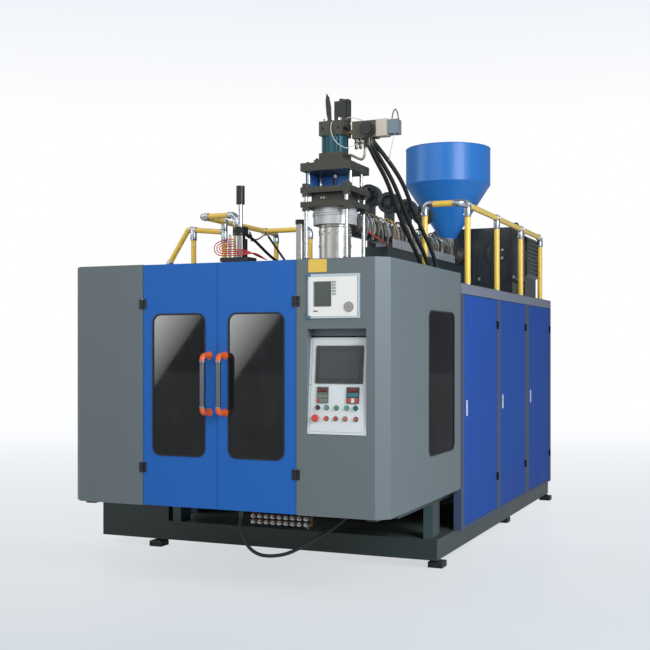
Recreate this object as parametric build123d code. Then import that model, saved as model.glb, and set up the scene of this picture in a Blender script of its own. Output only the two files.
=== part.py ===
from build123d import *
from math import acos, atan2, cos, degrees, pi, radians, sin, tan
import os

os.makedirs("parts", exist_ok=True)

# Blow moulding machine, in millimetres.
# X runs right from the middle of the guard housing, Y back from its doors, Z up from the floor.
# At the end everything moves to the bottom middle of the machine's box.

# Fits and sheet metal
gap = 0.3
shaft_fit = 0.05
sheet = 3
return_depth = 25

# Base frame
foot_height = 65
beam_height = 145
beam_width = 140
beam_spacing = 2128
base_front = 1228
cross_beam_places = (2500, 3750)
pan_thickness = 6
base_overhang = 116
foot_width = 110
foot_length = 120
pad_height = 46
beam_feet = ((1100, 1345), (1054, 3562), (1118, 5190), (-1054, 3562), (-1118, 5190))
wing_foot_x = -1257
bearer_height = 60
bearer_plate = 20
bearer_width = 74
bearer_setback = 34
bearer_front = 60
bearer_step = 470
bar_front = 150
bar_depth = 60
post_depth = 160

# Left wing with the ladder
wing_reach = 1766
wing_front_thickness = 110
wing_front_top = 400
wing_rear = 3900
landing_front = 2195
leg = 60
ladder_front = 2900
ladder_width = 400
ladder_tube = 36
rung_pitch = 285

# Guard housing
housing_half = 1186
corner_cut = 76.5
housing_bottom = 540
housing_height = 1650
door_seam_left = -589
door_seam_middle = -11
door_seam_right = 567
door_gap = 4
window_sill = 350
window_height = 955
window_corner = 55
left_window_span = (-506, -105)
right_window_span = (77, 480)
side_window_span = (875, 1490)
side_window_sill = 322
side_window_height = 1016
side_window_margin = 180
pane_lip = 12
pane_thickness = 4
hinge_heights = (260, 1378)
bottom_flange = 110

# Hose glands on the deck
gland_setback = 58

# Hinges
hinge_offset = 8
knuckle_radius = 7
hinge_pin_radius = 3.5
hinge_length = 68
leaf_reach = 28

# Front door handles
handle_side = 60
handle_standoff = 95
handle_radius = 18
handle_low = 1188
handle_height = 380
handle_bend = 32
handle_end_length = 39

# Cabinet
cabinet_gap = 17
cabinet_posts = (92, 127, 165, 71)
cabinet_bays = (1037, 964, 991)
post_width = 60
frame_top = 2114
top_rail = 79
bottom_rail = 24
deck_thickness = 6
bay_gap = 3
grip_inset = 62
grip_width = 34
grip_height = 120
grip_low = 1090
cabinet_hinge_heights = (300, 1600)

# Handrails, with places along Y counted from the cabinet's front
rail_height = 630
rail_radius = 24
rail_wall = 3
fitting_wall = 5
sleeve = 60
tee_sleeve = 32
post_sleeve = 95
elbow_radius = 45
bend_radius = 38
rail_side = 1160
rail_front = 124
right_posts = (273, 1218, 2143)
right_rail_end = 3022
left_rail_end = 1608
cross_rail_y = 1348
cross_rail_end = -678
front_rail_ends = (-824, 854)
step_y = 2225
step_drop = 90
step_post_reach = 289
step_bend_reach = 237
step_end_reach = 31
step_heights = (31, 42, -272)

# Operator panel and controller
recess_left = 645
recess_right = 1051
recess_low = 1064
recess_top = 1740
recess_depth = 80
panel_height = 625
panel_lean = 60
panel_thickness = 4
button_radius = 12.5
button_bore = 12.8
button_travel = 4
bezel_radius = 17
bezel_height = 4
button_body = 40
upper_row = 1236
lower_row = 1167
stop_mushroom_radius = 24

# Clamp
head_x = 462
press_y = 910
shuttle = 773
rail_gauge = 800
rail_beam = 60
rail_size = 40
block_height = 60
table_thickness = 60
table_half_length = 350
table_half_depth = 530
mould_half_width = 250
mould_bottom = 1330
mould_height = 560
mould_thickness = 120
mould_opening = 150
platen_thickness = 50
platen_half_width = 350
platen_bottom = 1250
platen_top = 1900
tie_bar_radius = 30
tie_bar_side = 290
tie_bar_heights = (1310, 1840)
end_plate_thickness = 40
clamp_cylinder_radius = 70
clamp_rod_radius = 35
shuttle_cylinder_radius = 45
shuttle_rod_radius = 20

# Die head tower
support_beam_height = 100
support_plate_thickness = 30
lower_plate_z = 2626
lower_plate_thickness = 39
spacer_height = 63
middle_plate_thickness = 41
upper_gap = 116
top_plate_thickness = 57
tower_half_x = 192
tower_half_y = 190
lower_rod_radius = 15
upper_rod_radius = 12
collar_radius = 158
collar_height = 120
die_radius = 115
die_bottom = 1950
cylinder_radius = 87.5
cylinder_bore = 70
cylinder_height = 125
cylinder_block_height = 103
mandrel_radius = 30
mandrel_travel = 25
piston_height = 35

# Blow station
blow_x = -311
blow_base_top = 2298
blow_stroke = 165
blow_rod_radius = 17
blow_tip_low = 1960

# Extruder
axis_z = 2545
barrel_front = 1180
barrel_rear = 3990
barrel_radius = 65
barrel_bore = 40
screw_radius = 39.7
screw_pitch = 120
band_radius = 85
band_length = 300
band_space = 345
band_count = 7
trough_half = 110
trough_front = 1850
trough_rear = 3630
trough_floor = 2430
trough_side = 70
blower_z = 2816
blower_radius = 87
blower_width = 90
blower_places = (1630, 2080, 2530, 2980)
hopper_y = 3769
hopper_radius = 406.5
hopper_top = 3545
hopper_side = 352
hopper_cone = 519
hopper_foot_radius = 72
hopper_flange_radius = 88
throat_radius = 44
throat_height = 129
hopper_wall = 3

# Gearbox and motor
gearbox_front = 4050
gearbox_depth = 360
gearbox_left = 205
gearbox_right = 1072
gearbox_bottom = 2260
gearbox_top = 2800
gearbox_wall = 12
gearbox_corner = 60
gear_module = 7.5
screw_teeth = 60
motor_teeth = 48
gear_width = 100
gear_front = 4160
screw_shank_radius = 30
motor_radius = 215
motor_length = 630
motor_corner = 50
motor_foot = 190
motor_shaft_radius = 25
rotor_radius = 149
air_gap = 1

# Tank and rack inside the cabinet
tank_span = (-1000, -100)
tank_places = (2000, 3000)
tank_height = 680
tank_wall = 6
pump_motor_radius = 150
rack_span = (300, 900)
rack_places = (3000, 4600)
rack_tall = 1700
rack_wall = 4
rack_door_pitch = 395

# Faces of the operator panel and controller
controller_left = 652
controller_right = 1010
controller_low = 1806
controller_top = 2089
screen_span = (697, 813)
screen_heights = (1884, 2038)
upper_controls = (714, 775, 842, 913, 974)
lower_controls = (702, 775, 840, 905, 978)
touch_span = (690, 1016)
touch_heights = (1389, 1632)
meter_spans = ((706, 784), (911, 995))
meter_heights = (1265, 1368)

# Sizes that follow
housing_top = housing_bottom + housing_height
housing_flat = housing_half - corner_cut
housing_depth = side_window_span[1] + side_window_margin
cabinet_front = housing_depth + cabinet_gap
cabinet_rear = cabinet_front + sum(cabinet_posts) + sum(cabinet_bays)
base_rear = cabinet_rear + base_overhang
beam_top = foot_height + beam_height
beam_x = beam_spacing / 2
beam_inner = beam_x - beam_width / 2
beam_outer = beam_x + beam_width / 2
pan_top = beam_top + pan_thickness
bearer_outer = beam_outer - bearer_setback
bearer_inner = bearer_outer - bearer_width
bearer_bottom = housing_bottom - bearer_height
deck_top = frame_top + deck_thickness
landing_inner = housing_half
rail_z = deck_top + rail_height
panel_low = recess_low + 3
panel_tilt = degrees(atan2(panel_lean, panel_height))
bed_top = housing_bottom + rail_beam
rail_top = bed_top + rail_size
table_bottom = rail_top + block_height
table_top = table_bottom + table_thickness
mould_top = mould_bottom + mould_height
mould_back = mould_opening + mould_thickness
end_plate_face = mould_back + platen_thickness + mould_opening + 10
end_plate_back = end_plate_face + end_plate_thickness
clamp_cylinder_length = mould_opening + 60
support_beam_top = deck_top + support_beam_height
support_plate_top = support_beam_top + support_plate_thickness
spacer_z = lower_plate_z + lower_plate_thickness
middle_plate_z = spacer_z + spacer_height
upper_rods_z = middle_plate_z + middle_plate_thickness
top_plate_z = upper_rods_z + upper_gap
flange_z = top_plate_z + top_plate_thickness
flange_heights = (31, 51)
cylinder_z = flange_z + sum(flange_heights)
head_block_z = cylinder_z + cylinder_height
head_block_top = head_block_z + cylinder_block_height
motor_x = head_x + gear_module * (screw_teeth + motor_teeth) / 2
gearbox_rear = gearbox_front + gearbox_depth
throat_top = axis_z + throat_height
gland_y = cabinet_front + gland_setback

# Hoses and tubes
hose_radius = 16
blow_hose_radius = 11
drain_radius = 12
loop_count = 4
loop_middle = 2372
loop_first = 12
loop_pitch = 16
air_tube_radius = 4

# Routes of the hoses, chosen by hand
hydraulic_routes = (
    ((751, 950, 3093), (788, 1040, 3024), (836, 1140, 2928), (868, 1240, 2835), (881, 1345, 2731),
     (892, 1440, 2634), (912, 1535, 2541), (938, 1625, 2434), (962, 1705, 2330),
     (972, gland_y, 2235), (972, gland_y, 2128)),
    ((745, 925, 3069), (766, 1010, 2998), (795, 1105, 2909), (814, 1200, 2825), (825, 1300, 2730),
     (834, 1405, 2632), (848, 1500, 2535), (872, 1590, 2438), (900, 1680, 2330),
     (918, gland_y, 2215), (918, gland_y, 2128)),
    ((736, 892, 3054), (754, 985, 2966), (778, 1086, 2878), (789, 1180, 2790), (791, 1280, 2694),
     (799, 1375, 2600), (814, 1470, 2508), (834, 1560, 2412), (858, 1655, 2310),
     (872, gland_y, 2195), (872, gland_y, 2128)),
)
blow_routes = (
    ((-256, 955, 2459), (-244, 1014, 2436), (-236, 1080, 2404), (-230, 1170, 2365),
     (-229, 1280, 2328), (-229, 1400, 2298), (-229, 1530, 2274), (-229, 1624, 2259),
     (-228, 1692, 2240), (-227, 1726, 2212), (-227, gland_y, 2172), (-227, gland_y, 2128)),
    ((-1118, 3035, 2697), (-1090, 3035, 2659), (-1022, 3035, 2567), (-955, 3035, 2477),
     (-902, 3034, 2398), (-855, 3032, 2318), (-820, 3030, 2220), (-820, 3030, 2128)),
)
drain_route = ((88, 150, 479), (78, 150, 420), (104, 150, 345), (148, 150, 272), (221, 152, 231),
               (307, 158, 226), (420, 170, 246), (525, 200, 300), (612, 236, 358),
               (687, 288, 408), (740, 378, 462), (775, 458, 505))

pieces = {}


def keep(node, *shapes):
    """Add the solids of some shapes to a node."""
    for shape in shapes:
        pieces.setdefault(node, []).extend(shape.solids())


def block(x0, x1, y0, y1, z0, z1):
    """A box between two corners."""
    middle = Pos((x0 + x1) / 2, (y0 + y1) / 2, (z0 + z1) / 2)
    return middle * Box(abs(x1 - x0), abs(y1 - y0), abs(z1 - z0))


def rod_x(x0, x1, y, z, radius):
    """A round bar along X."""
    return Pos((x0 + x1) / 2, y, z) * Rot(0, 90, 0) * Cylinder(radius, abs(x1 - x0))


def rod_y(x, y0, y1, z, radius):
    """A round bar along Y."""
    return Pos(x, (y0 + y1) / 2, z) * Rot(90, 0, 0) * Cylinder(radius, abs(y1 - y0))


def rod_z(x, y, z0, z1, radius):
    """A round bar along Z."""
    return Pos(x, y, (z0 + z1) / 2) * Cylinder(radius, abs(z1 - z0))


def bar(start, end, radius):
    """A round bar between two points."""
    first = Vector(*start)
    run = Vector(*end) - first
    return Solid.make_cylinder(radius, run.length, Plane(origin=first, z_dir=run))


def hex_bolt(x, y, z, across, height):
    """A hexagonal head or nut that stands on z."""
    profile = RegularPolygon(across / 2, 6, major_radius=False)
    return Pos(x, y, z) * extrude(profile, height)


def rounded_plate(width, height, corner, y0, y1):
    """A plate with rounded corners that faces along Y, centred on X and Z."""
    face = Plane.XZ * RectangleRounded(width, height, corner)
    return Pos(0, y1, 0) * extrude(face, y1 - y0)


def inset(points, distance):
    """The mitred copy of an open line, moved to its left by a distance."""
    moved = []
    count = len(points)
    for index, (x, y) in enumerate(points):
        before = points[max(index - 1, 0)]
        after = points[min(index + 1, count - 1)]
        first = Vector(x - before[0], y - before[1]) if index else None
        second = Vector(after[0] - x, after[1] - y) if index < count - 1 else None
        one = (first or second).normalized()
        two = (second or first).normalized()
        normal = (Vector(-one.Y, one.X) + Vector(-two.Y, two.X)).normalized()
        reach = distance / normal.dot(Vector(-one.Y, one.X))
        moved.append((x + normal.X * reach, y + normal.Y * reach))
    return moved


def folded_strip(points, thickness, z0, z1):
    """A sheet folded along upright lines, with its body left of the line."""
    outline = list(points) + inset(points, thickness)[::-1]
    return Pos(0, 0, z0) * extrude(make_face(Polyline(*outline, close=True)), z1 - z0)


def flat_shape(points, z0, z1):
    """A level plate with a polygon outline."""
    return Pos(0, 0, z0) * extrude(make_face(Polyline(*points, close=True)), z1 - z0)


def tube_along(name, points, radius):
    """A hose along straight runs joined by the largest tangent arcs they allow."""
    radii = []
    for before, corner, after in zip(points, points[1:], points[2:]):
        first = Vector(*corner) - Vector(*before)
        second = Vector(*after) - Vector(*corner)
        half_turn = radians(first.get_angle(second)) / 2
        radii.append(0.45 * min(first.length, second.length) / tan(half_turn))
    path = FilletPolyline(*points, radius=radii)
    section = Plane(origin=path @ 0, z_dir=path % 0) * Circle(radius)
    tube = sweep(section, path=path)
    expected = pi * radius ** 2 * path.length
    print(name, "length", round(path.length), "volume share", round(tube.volume / expected, 4),
          "radii in diameters", [round(one / radius / 2, 1) for one in radii])
    return tube


def gear_outline(teeth, turn):
    """Involute teeth of the gearbox module, turned by an angle in degrees."""
    pitch_radius = gear_module * teeth / 2
    base_radius = pitch_radius * cos(radians(20))
    root_radius = pitch_radius - 1.25 * gear_module
    tip_radius = pitch_radius + gear_module
    backlash = 0.5
    half_tooth = pi / (2 * teeth) - backlash / pitch_radius + tan(radians(20)) - radians(20)
    points = []
    for tooth in range(teeth):
        middle = radians(turn) + 2 * pi * tooth / teeth
        flank = []
        for step in range(4):
            radius = root_radius + (tip_radius - root_radius) * step / 3
            pressure = acos(min(1, base_radius / radius))
            flank.append((radius, half_tooth - (tan(pressure) - pressure)))
        for radius, angle in flank:
            points.append((radius * cos(middle - angle), radius * sin(middle - angle)))
        for radius, angle in reversed(flank):
            points.append((radius * cos(middle + angle), radius * sin(middle + angle)))
    return make_face(Polyline(*points, close=True))


def gear(x, y0, y1, z, teeth, turn):
    """A spur gear on an axis along Y."""
    blank = extrude(gear_outline(teeth, turn), y1 - y0)
    return Pos(x, y1, z) * Rot(90, 0, 0) * blank


def make_base():
    """Two long beams, cross beams, the floor pan and the bearers of the guard housing."""
    frame = None
    for side in (-1, 1):
        beam = block(side * beam_inner, side * beam_outer, base_front, base_rear,
                     foot_height, beam_top)
        frame = beam if frame is None else frame + beam
    places = (base_front,) + cross_beam_places + (base_rear - beam_width,)
    for place in places:
        frame += block(-beam_inner, beam_inner, place, place + beam_width, foot_height, beam_top)
    frame += block(-beam_outer, beam_outer, base_front, cabinet_rear, beam_top, pan_top)
    post_front = base_front + 12
    plate_bottom = housing_bottom - bearer_plate
    for side in (-1, 1):
        frame += block(side * bearer_inner, side * bearer_outer, post_front,
                       post_front + post_depth, beam_top, bearer_bottom)
        frame += block(side * bearer_inner, side * bearer_outer, bearer_front,
                       cabinet_front - gap, plate_bottom, housing_bottom)
        frame += block(side * bearer_inner, side * bearer_outer, bearer_step,
                       cabinet_front - gap, bearer_bottom, housing_bottom)
    frame += block(-bearer_inner, bearer_inner, bar_front, bar_front + bar_depth,
                   plate_bottom, housing_bottom)
    first = Vector(*drain_route[0])
    away = (first - Vector(*drain_route[1])).normalized()
    frame += bar(tuple(first), tuple(first + away * 52), drain_radius + 5)
    keep("base_beams", frame)


def make_feet():
    """Levelling pads with their studs under the beams."""
    places = list(beam_feet)
    places += [(-wing_reach + beam_width / 2, wing_rear - beam_width / 2),
               (wing_foot_x, base_front + wing_front_thickness / 2)]
    for x, y in places:
        pad = block(x - foot_width / 2, x + foot_width / 2, y - foot_length / 2,
                    y + foot_length / 2, 0, pad_height)
        pad = chamfer(pad.faces().sort_by(Axis.Z)[-1].edges(), 6)
        stud = rod_z(x, y, pad_height, foot_height, 14) + hex_bolt(x, y, pad_height, 46, 12)
        keep("levelling_feet", pad + stud)


def make_wing():
    """The wing beside the housing: front slab, beams, legs, landing and ladder."""
    outer = -wing_reach
    slab = block(outer, -beam_outer - gap, base_front, base_front + wing_front_thickness,
                 foot_height, wing_front_top)
    wing = slab + block(outer, outer + beam_width, base_front, wing_rear, foot_height, beam_top)
    for place in (landing_front, wing_rear - beam_width):
        wing += block(outer, -beam_outer - gap, place, place + beam_width, foot_height, beam_top)
    leg_places = (landing_front, wing_rear - leg)
    for y in leg_places:
        for x in (outer, -landing_inner - leg - gap):
            wing += block(x, x + leg, y, y + leg, beam_top, frame_top)
        wing += block(outer, -landing_inner - gap, y, y + leg, frame_top - leg, frame_top)
    for x in (outer, -landing_inner - leg - gap):
        wing += block(x, x + leg, landing_front, wing_rear, frame_top - leg, frame_top)
    wing += block(outer, -landing_inner - gap, landing_front, wing_rear, frame_top, deck_top)
    stringer_x = outer + ladder_tube / 2
    for y in (ladder_front, ladder_front + ladder_width):
        wing += rod_z(stringer_x, y, beam_top, frame_top - leg, ladder_tube / 2)
    rungs = int((frame_top - leg - beam_top) / rung_pitch)
    for rung in range(rungs):
        z = beam_top + rung_pitch * (rung + 0.7)
        wing += rod_y(stringer_x, ladder_front, ladder_front + ladder_width, z, 13)
    keep("ladder_platform", wing)


def guard_side(seam, side):
    """One folded guard panel: front, chamfer and side, with flanges all round."""
    edge = seam + side * door_gap / 2
    line = [(edge, return_depth), (edge, 0), (side * housing_flat, 0), (side * housing_half, corner_cut),
            (side * housing_half, housing_depth), (side * (housing_half - return_depth * 2),
                                                   housing_depth)]
    panel = folded_strip(line, side * sheet, housing_bottom, housing_top)
    inner = inset(line[1:5], side * return_depth)
    panel += flat_shape(line[1:5] + inner[::-1], housing_top - sheet, housing_top)
    inner = inset(line[1:5], side * bottom_flange)
    panel += flat_shape(line[1:5] + inner[::-1], housing_bottom, housing_bottom + sheet)
    middle_y = sum(side_window_span) / 2
    middle_z = housing_bottom + side_window_sill + side_window_height / 2
    hole = rounded_plate(side_window_span[1] - side_window_span[0], side_window_height,
                         window_corner, -2 * sheet, 2 * sheet)
    return panel - Pos(side * housing_half, middle_y, middle_z) * Rot(0, 0, 90) * hole


def hinge(length, moving):
    """Fixed knuckles with leaf, moving knuckle with leaf, and pin, at the hinge axis.

    The surface lies at +Y by the hinge offset, and the moving leaf reaches to the given side.
    """
    third = length / 3
    bore = rod_z(0, 0, -length / 2, length / 2, hinge_pin_radius + shaft_fit)
    leaf_front = hinge_offset - sheet
    edge = knuckle_radius + 1
    fixed = block(-moving * leaf_reach, -moving * edge, leaf_front, hinge_offset,
                  -length / 2, length / 2)
    for z0 in (-length / 2, length / 2 - third):
        fixed += rod_z(0, 0, z0, z0 + third, knuckle_radius)
        fixed += block(-moving * edge, 0, leaf_front, hinge_offset, z0, z0 + third)
    turning = block(moving * leaf_reach, moving * edge, leaf_front, hinge_offset,
                    -length / 2, length / 2)
    low = -third / 2 + gap
    high = third / 2 - gap
    turning += rod_z(0, 0, low, high, knuckle_radius)
    turning += block(0, moving * edge, leaf_front, hinge_offset, low, high)
    pin = rod_z(0, 0, -length / 2, length / 2, hinge_pin_radius)
    pin += rod_z(0, 0, length / 2, length / 2 + 3, hinge_pin_radius + 2)
    return fixed - bore, turning - bore, pin


def make_guard():
    """The two folded guard panels, the recess for the operator panel and the side windows."""
    left = guard_side(door_seam_left, -1)
    right = guard_side(door_seam_right, 1)
    recess = block(recess_left - sheet, recess_right + sheet, sheet, recess_depth,
                   recess_low - sheet, recess_top + sheet)
    right += recess
    right -= block(recess_left, recess_right, -1, recess_depth + 1, recess_low, recess_top)
    right -= block(controller_left + 20, controller_right - 20, -1, sheet + 1,
                   controller_low + 20, controller_top - 20)
    keep("guard_panel_left", left)
    keep("guard_panel_right", right)
    width = side_window_span[1] - side_window_span[0]
    middle_y = sum(side_window_span) / 2
    middle_z = housing_bottom + side_window_sill + side_window_height / 2
    pane = window_pane(width, side_window_height)
    keep("guard_side_windows", Pos(housing_half, middle_y, middle_z) * Rot(0, 0, 90) * pane,
         Pos(-housing_half, middle_y, middle_z) * Rot(0, 0, -90) * pane)


def window_pane(width, height):
    """A pane that fills its hole and bears on the sheet's inner face with a lip.

    The sheet's outer face is at Y = 0, and the sheet lies behind it.
    """
    plug = rounded_plate(width - 2 * gap, height - 2 * gap, window_corner - gap, 0.5, sheet + 1)
    lip = rounded_plate(width + 2 * pane_lip, height + 2 * pane_lip, window_corner + pane_lip,
                        sheet, sheet + pane_thickness)
    return plug + lip


def front_door(x0, x1, span, node):
    """A front door as a pan of sheet with a window hole, and its pane."""
    z0 = housing_bottom + sheet
    z1 = housing_top - sheet
    pan = block(x0, x1, 0, return_depth, z0, z1)
    pan -= block(x0 + sheet, x1 - sheet, sheet, return_depth + 1, z0 + sheet, z1 - sheet)
    place = Pos((span[0] + span[1]) / 2, 0, housing_bottom + window_sill + window_height / 2)
    width = span[1] - span[0]
    pan -= place * rounded_plate(width, window_height, window_corner, -1, sheet + 1)
    keep(node + "_front_door", pan)
    keep(node + "_door_window", place * window_pane(width, window_height))


def handle(x):
    """Three solids: curved lower end, straight tube and curved upper end."""
    high = handle_low + handle_height
    solids = []
    for z, turn in ((handle_low, 1), (high, -1)):
        path = FilletPolyline((x, 0, z), (x, -handle_standoff, z),
                              (x, -handle_standoff, z + turn * handle_end_length),
                              radius=handle_bend)
        end = sweep(Plane(origin=path @ 0, z_dir=path % 0) * Circle(handle_radius), path=path)
        end += rod_y(x, -6, 0, z, handle_radius + 8)
        solids.append(end)
    solids.append(rod_z(x, -handle_standoff, handle_low + handle_end_length,
                        high - handle_end_length, handle_radius))
    return solids


def make_front_doors():
    """Both front doors with panes, handles and hinges."""
    half = door_gap / 2
    front_door(door_seam_left + half, door_seam_middle - half, left_window_span, "left")
    front_door(door_seam_middle + half, door_seam_right - half, right_window_span, "right")
    keep("left_door_fittings", *handle(door_seam_middle - handle_side))
    keep("right_door_fittings", *handle(door_seam_middle + handle_side))
    for seam, moving, name in ((door_seam_left, 1, "left"), (door_seam_right, -1, "right")):
        for height in hinge_heights:
            place = Pos(seam, -hinge_offset, housing_bottom + height)
            fixed, turning, pin = hinge(hinge_length, moving)
            keep("guard_panel_" + name, place * fixed)
            keep(name + "_door_fittings", place * turning)
            keep("door_hinge_pins", place * pin)


def bay_edges():
    """Front and rear Y of each cabinet post, front to back."""
    edges = []
    y = cabinet_front
    for depth, bay in zip(cabinet_posts, cabinet_bays + (0,)):
        edges.append((y, y + depth))
        y += depth + bay
    return edges


def make_cabinet():
    """Cabinet frame, its fixed panels and the three hinged side doors."""
    posts = bay_edges()
    inner = housing_half - post_width
    frame = None
    for side in (-1, 1):
        for y0, y1 in posts:
            post = block(side * inner, side * housing_half, y0, y1, pan_top, frame_top)
            frame = post if frame is None else frame + post
        for z0, z1 in ((pan_top, pan_top + bottom_rail), (frame_top - top_rail, frame_top)):
            frame += block(side * inner, side * housing_half, cabinet_front, cabinet_rear, z0, z1)
    for y0, y1 in (posts[0][0], posts[0][0] + post_width), (posts[-1][1] - post_width, posts[-1][1]):
        frame += block(-inner, inner, y0, y1, frame_top - top_rail, frame_top)
    for y0, y1 in posts[1:3]:
        middle = (y0 + y1) / 2
        frame += block(-inner, inner, middle - 30, middle + 30, frame_top - top_rail, frame_top)
    keep("cabinet_frame", frame)
    panel_low = pan_top + bottom_rail + gap
    panel_high = frame_top - top_rail - gap
    keep("cabinet_frame", block(-inner + gap, inner - gap, cabinet_front, cabinet_front + sheet,
                                housing_bottom, panel_high))
    keep("cabinet_frame", block(-inner + gap, inner - gap, cabinet_rear - sheet, cabinet_rear,
                                panel_low, panel_high))
    bays = zip(posts, posts[1:], ("front", "middle", "rear"))
    for (_, y0), (y1, _), name in bays:
        keep("cabinet_frame", block(-housing_half, -housing_half + sheet, y0 + gap, y1 - gap,
                                    panel_low, panel_high))
        make_cabinet_door("cabinet_door_" + name, y0 + bay_gap, y1 - bay_gap)


def make_cabinet_door(node, y0, y1):
    """A cabinet door as a pan of sheet with a recessed grip, hinged at its rear edge."""
    z0 = pan_top + bottom_rail + bay_gap
    z1 = frame_top - top_rail - bay_gap
    outer = housing_half
    pan = block(outer - return_depth, outer, y0, y1, z0, z1)
    pan -= block(outer - return_depth - 1, outer - sheet, y0 + sheet, y1 - sheet,
                 z0 + sheet, z1 - sheet)
    grip_y = y0 + grip_inset
    grip_z = grip_low + grip_height / 2
    width = grip_width - 8
    height = grip_height - 8
    pan -= block(outer - sheet - 1, outer + 1, grip_y - width / 2, grip_y + width / 2,
                 grip_z - height / 2, grip_z + height / 2)
    grip = block(outer, outer + 2, grip_y - grip_width / 2, grip_y + grip_width / 2,
                 grip_z - grip_height / 2, grip_z + grip_height / 2)
    grip += block(outer - 18, outer, grip_y - width / 2 + gap, grip_y + width / 2 - gap,
                  grip_z - height / 2 + gap, grip_z + height / 2 - gap)
    grip -= block(outer - 16, outer + 3, grip_y - width / 2 + 2, grip_y + width / 2 - 2,
                  grip_z - height / 2 + 2, grip_z + height / 2 - 2)
    keep(node, pan, grip)
    for height in cabinet_hinge_heights:
        place = Pos(outer + hinge_offset, y1 + bay_gap / 2, pan_top + height) * Rot(0, 0, 90)
        fixed, turning, pin = hinge(hinge_length, -1)
        keep("cabinet_frame", place * fixed)
        keep(node, place * turning)
        keep("door_hinge_pins", place * pin)


def make_deck():
    """The deck plate with its hose glands."""
    deck = block(-housing_half, housing_half, cabinet_front, cabinet_rear, frame_top, deck_top)
    for route, radius in ((hydraulic_routes[0], hose_radius), (hydraulic_routes[1], hose_radius),
                          (hydraulic_routes[2], hose_radius), (blow_routes[0], blow_hose_radius),
                          (blow_routes[1], blow_hose_radius)):
        x, y, z = route[-1]
        deck += rod_z(x, y, deck_top, z, radius + 6)
    keep("deck_plate", deck)


def fitting(centre, directions, reaches):
    """A zinc tee with one sleeve along each direction."""
    outer = Pos(*centre) * Sphere(rail_radius + fitting_wall)
    bores = None
    for direction, reach in zip(directions, reaches):
        end = Vector(*centre) + Vector(*direction) * reach
        outer += bar(centre, tuple(end), rail_radius + fitting_wall)
        start = Vector(*centre) + Vector(*direction) * (rail_radius - 2)
        bore = bar(tuple(start), tuple(end + Vector(*direction)), rail_radius + gap / 2)
        bores = bore if bores is None else bores + bore
    return outer - bores


def elbow(centre, directions, reaches):
    """A curved zinc elbow between two directions."""
    middle = Vector(*centre)
    ends = [middle + Vector(*way) * reach for way, reach in zip(directions, reaches)]
    path = FilletPolyline(tuple(ends[0]), centre, tuple(ends[1]), radius=elbow_radius)
    start = Plane(origin=path @ 0, z_dir=path % 0)
    body = sweep(start * Circle(rail_radius + fitting_wall), path=path)
    for way, end in zip(directions, ends):
        along = Vector(*way)
        inside = middle + along * elbow_radius
        body -= bar(tuple(inside), tuple(end + along), rail_radius + gap / 2)
    return body


def rail_tube(start, end, first_end=rail_radius, last_end=rail_radius):
    """A tube whose ends stop inside the fittings."""
    first = Vector(*start)
    last = Vector(*end)
    along = (last - first).normalized()
    first = first + along * first_end
    last = last - along * last_end
    return bar(tuple(first), tuple(last), rail_radius) - bar(tuple(first), tuple(last),
                                                             rail_radius - rail_wall)


def rail_post(x, y, top, floor):
    """An upright tube from a floor flange to just under a fitting."""
    tube = rod_z(x, y, floor, top, rail_radius)
    tube += rod_z(x, y, floor, floor + 6, rail_radius + 2)
    return tube - rod_z(x, y, floor + 6, top + 1, rail_radius - rail_wall)


def make_handrails():
    """Three runs of handrail with posts, elbows and tees."""
    up = rail_z
    side = rail_side
    front = cabinet_front + rail_front
    right_rear = cabinet_front + right_rail_end
    left_rear = cabinet_front + left_rail_end
    cross_y = cabinet_front + cross_rail_y
    left_end, right_end = front_rail_ends
    down = (0, 0, -1)
    ahead = (0, -1, 0)
    behind = (0, 1, 0)
    to_left = (-1, 0, 0)
    to_right = (1, 0, 0)
    elbow_end = elbow_radius + 1
    corners = (
        ((right_end, front, up), (down, to_right)),
        ((side, front, up), (to_left, behind)),
        ((side, right_rear, up), (ahead, down)),
        ((left_end, front, up), (down, to_left)),
        ((-side, front, up), (to_right, behind)),
        ((-side, left_rear, up), (ahead, down)),
        ((cross_rail_end, cross_y, up), (to_left, down)),
    )
    for centre, ways in corners:
        reaches = [post_sleeve if way == down else sleeve + 15 for way in ways]
        keep("handrails", elbow(centre, ways, reaches))
        if down in ways:
            keep("handrails", rail_post(centre[0], centre[1], up - elbow_end, deck_top))
    tees = [((side, cabinet_front + y, up), (ahead, behind, down)) for y in right_posts]
    tees += [((-side, cross_y, up), (ahead, behind, to_right))]
    for centre, ways in tees:
        reaches = [post_sleeve if way == down else tee_sleeve for way in ways]
        keep("handrails", fitting(centre, ways, reaches))
        if down in ways:
            keep("handrails", rail_post(centre[0], centre[1], up - rail_radius, deck_top))
    right_line = [front] + [cabinet_front + y for y in right_posts] + [right_rear]
    left_line = [front, step_y, cross_y, left_rear]
    for x, line in ((side, right_line), (-side, left_line)):
        last = len(line) - 2
        for index, (y0, y1) in enumerate(zip(line, line[1:])):
            first_end = rail_radius if index else elbow_end
            last_end = elbow_end if index == last else rail_radius
            keep("handrails", rail_tube((x, y0, up), (x, y1, up), first_end, last_end))
    keep("handrails", rail_tube((right_end, front, up), (side, front, up), elbow_end, elbow_end))
    keep("handrails", rail_tube((-side, front, up), (left_end, front, up), elbow_end, elbow_end))
    keep("handrails", rail_tube((-side, cross_y, up), (cross_rail_end, cross_y, up),
                                rail_radius, elbow_end))
    make_step_rail(ahead, behind, down)
    clip_x, clip_y, clip_z = blow_routes[1][0]
    first = Vector(clip_x, clip_y, clip_z)
    away = (first - Vector(*blow_routes[1][1])).normalized()
    clip = block(clip_x - 22, clip_x + 6, clip_y - 14, clip_y + 14, clip_z + 7,
                 rail_z - rail_radius - fitting_wall)
    nipple = bar(tuple(first), tuple(first + away * 13), blow_hose_radius + 2)
    keep("handrails", clip + nipple)


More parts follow.
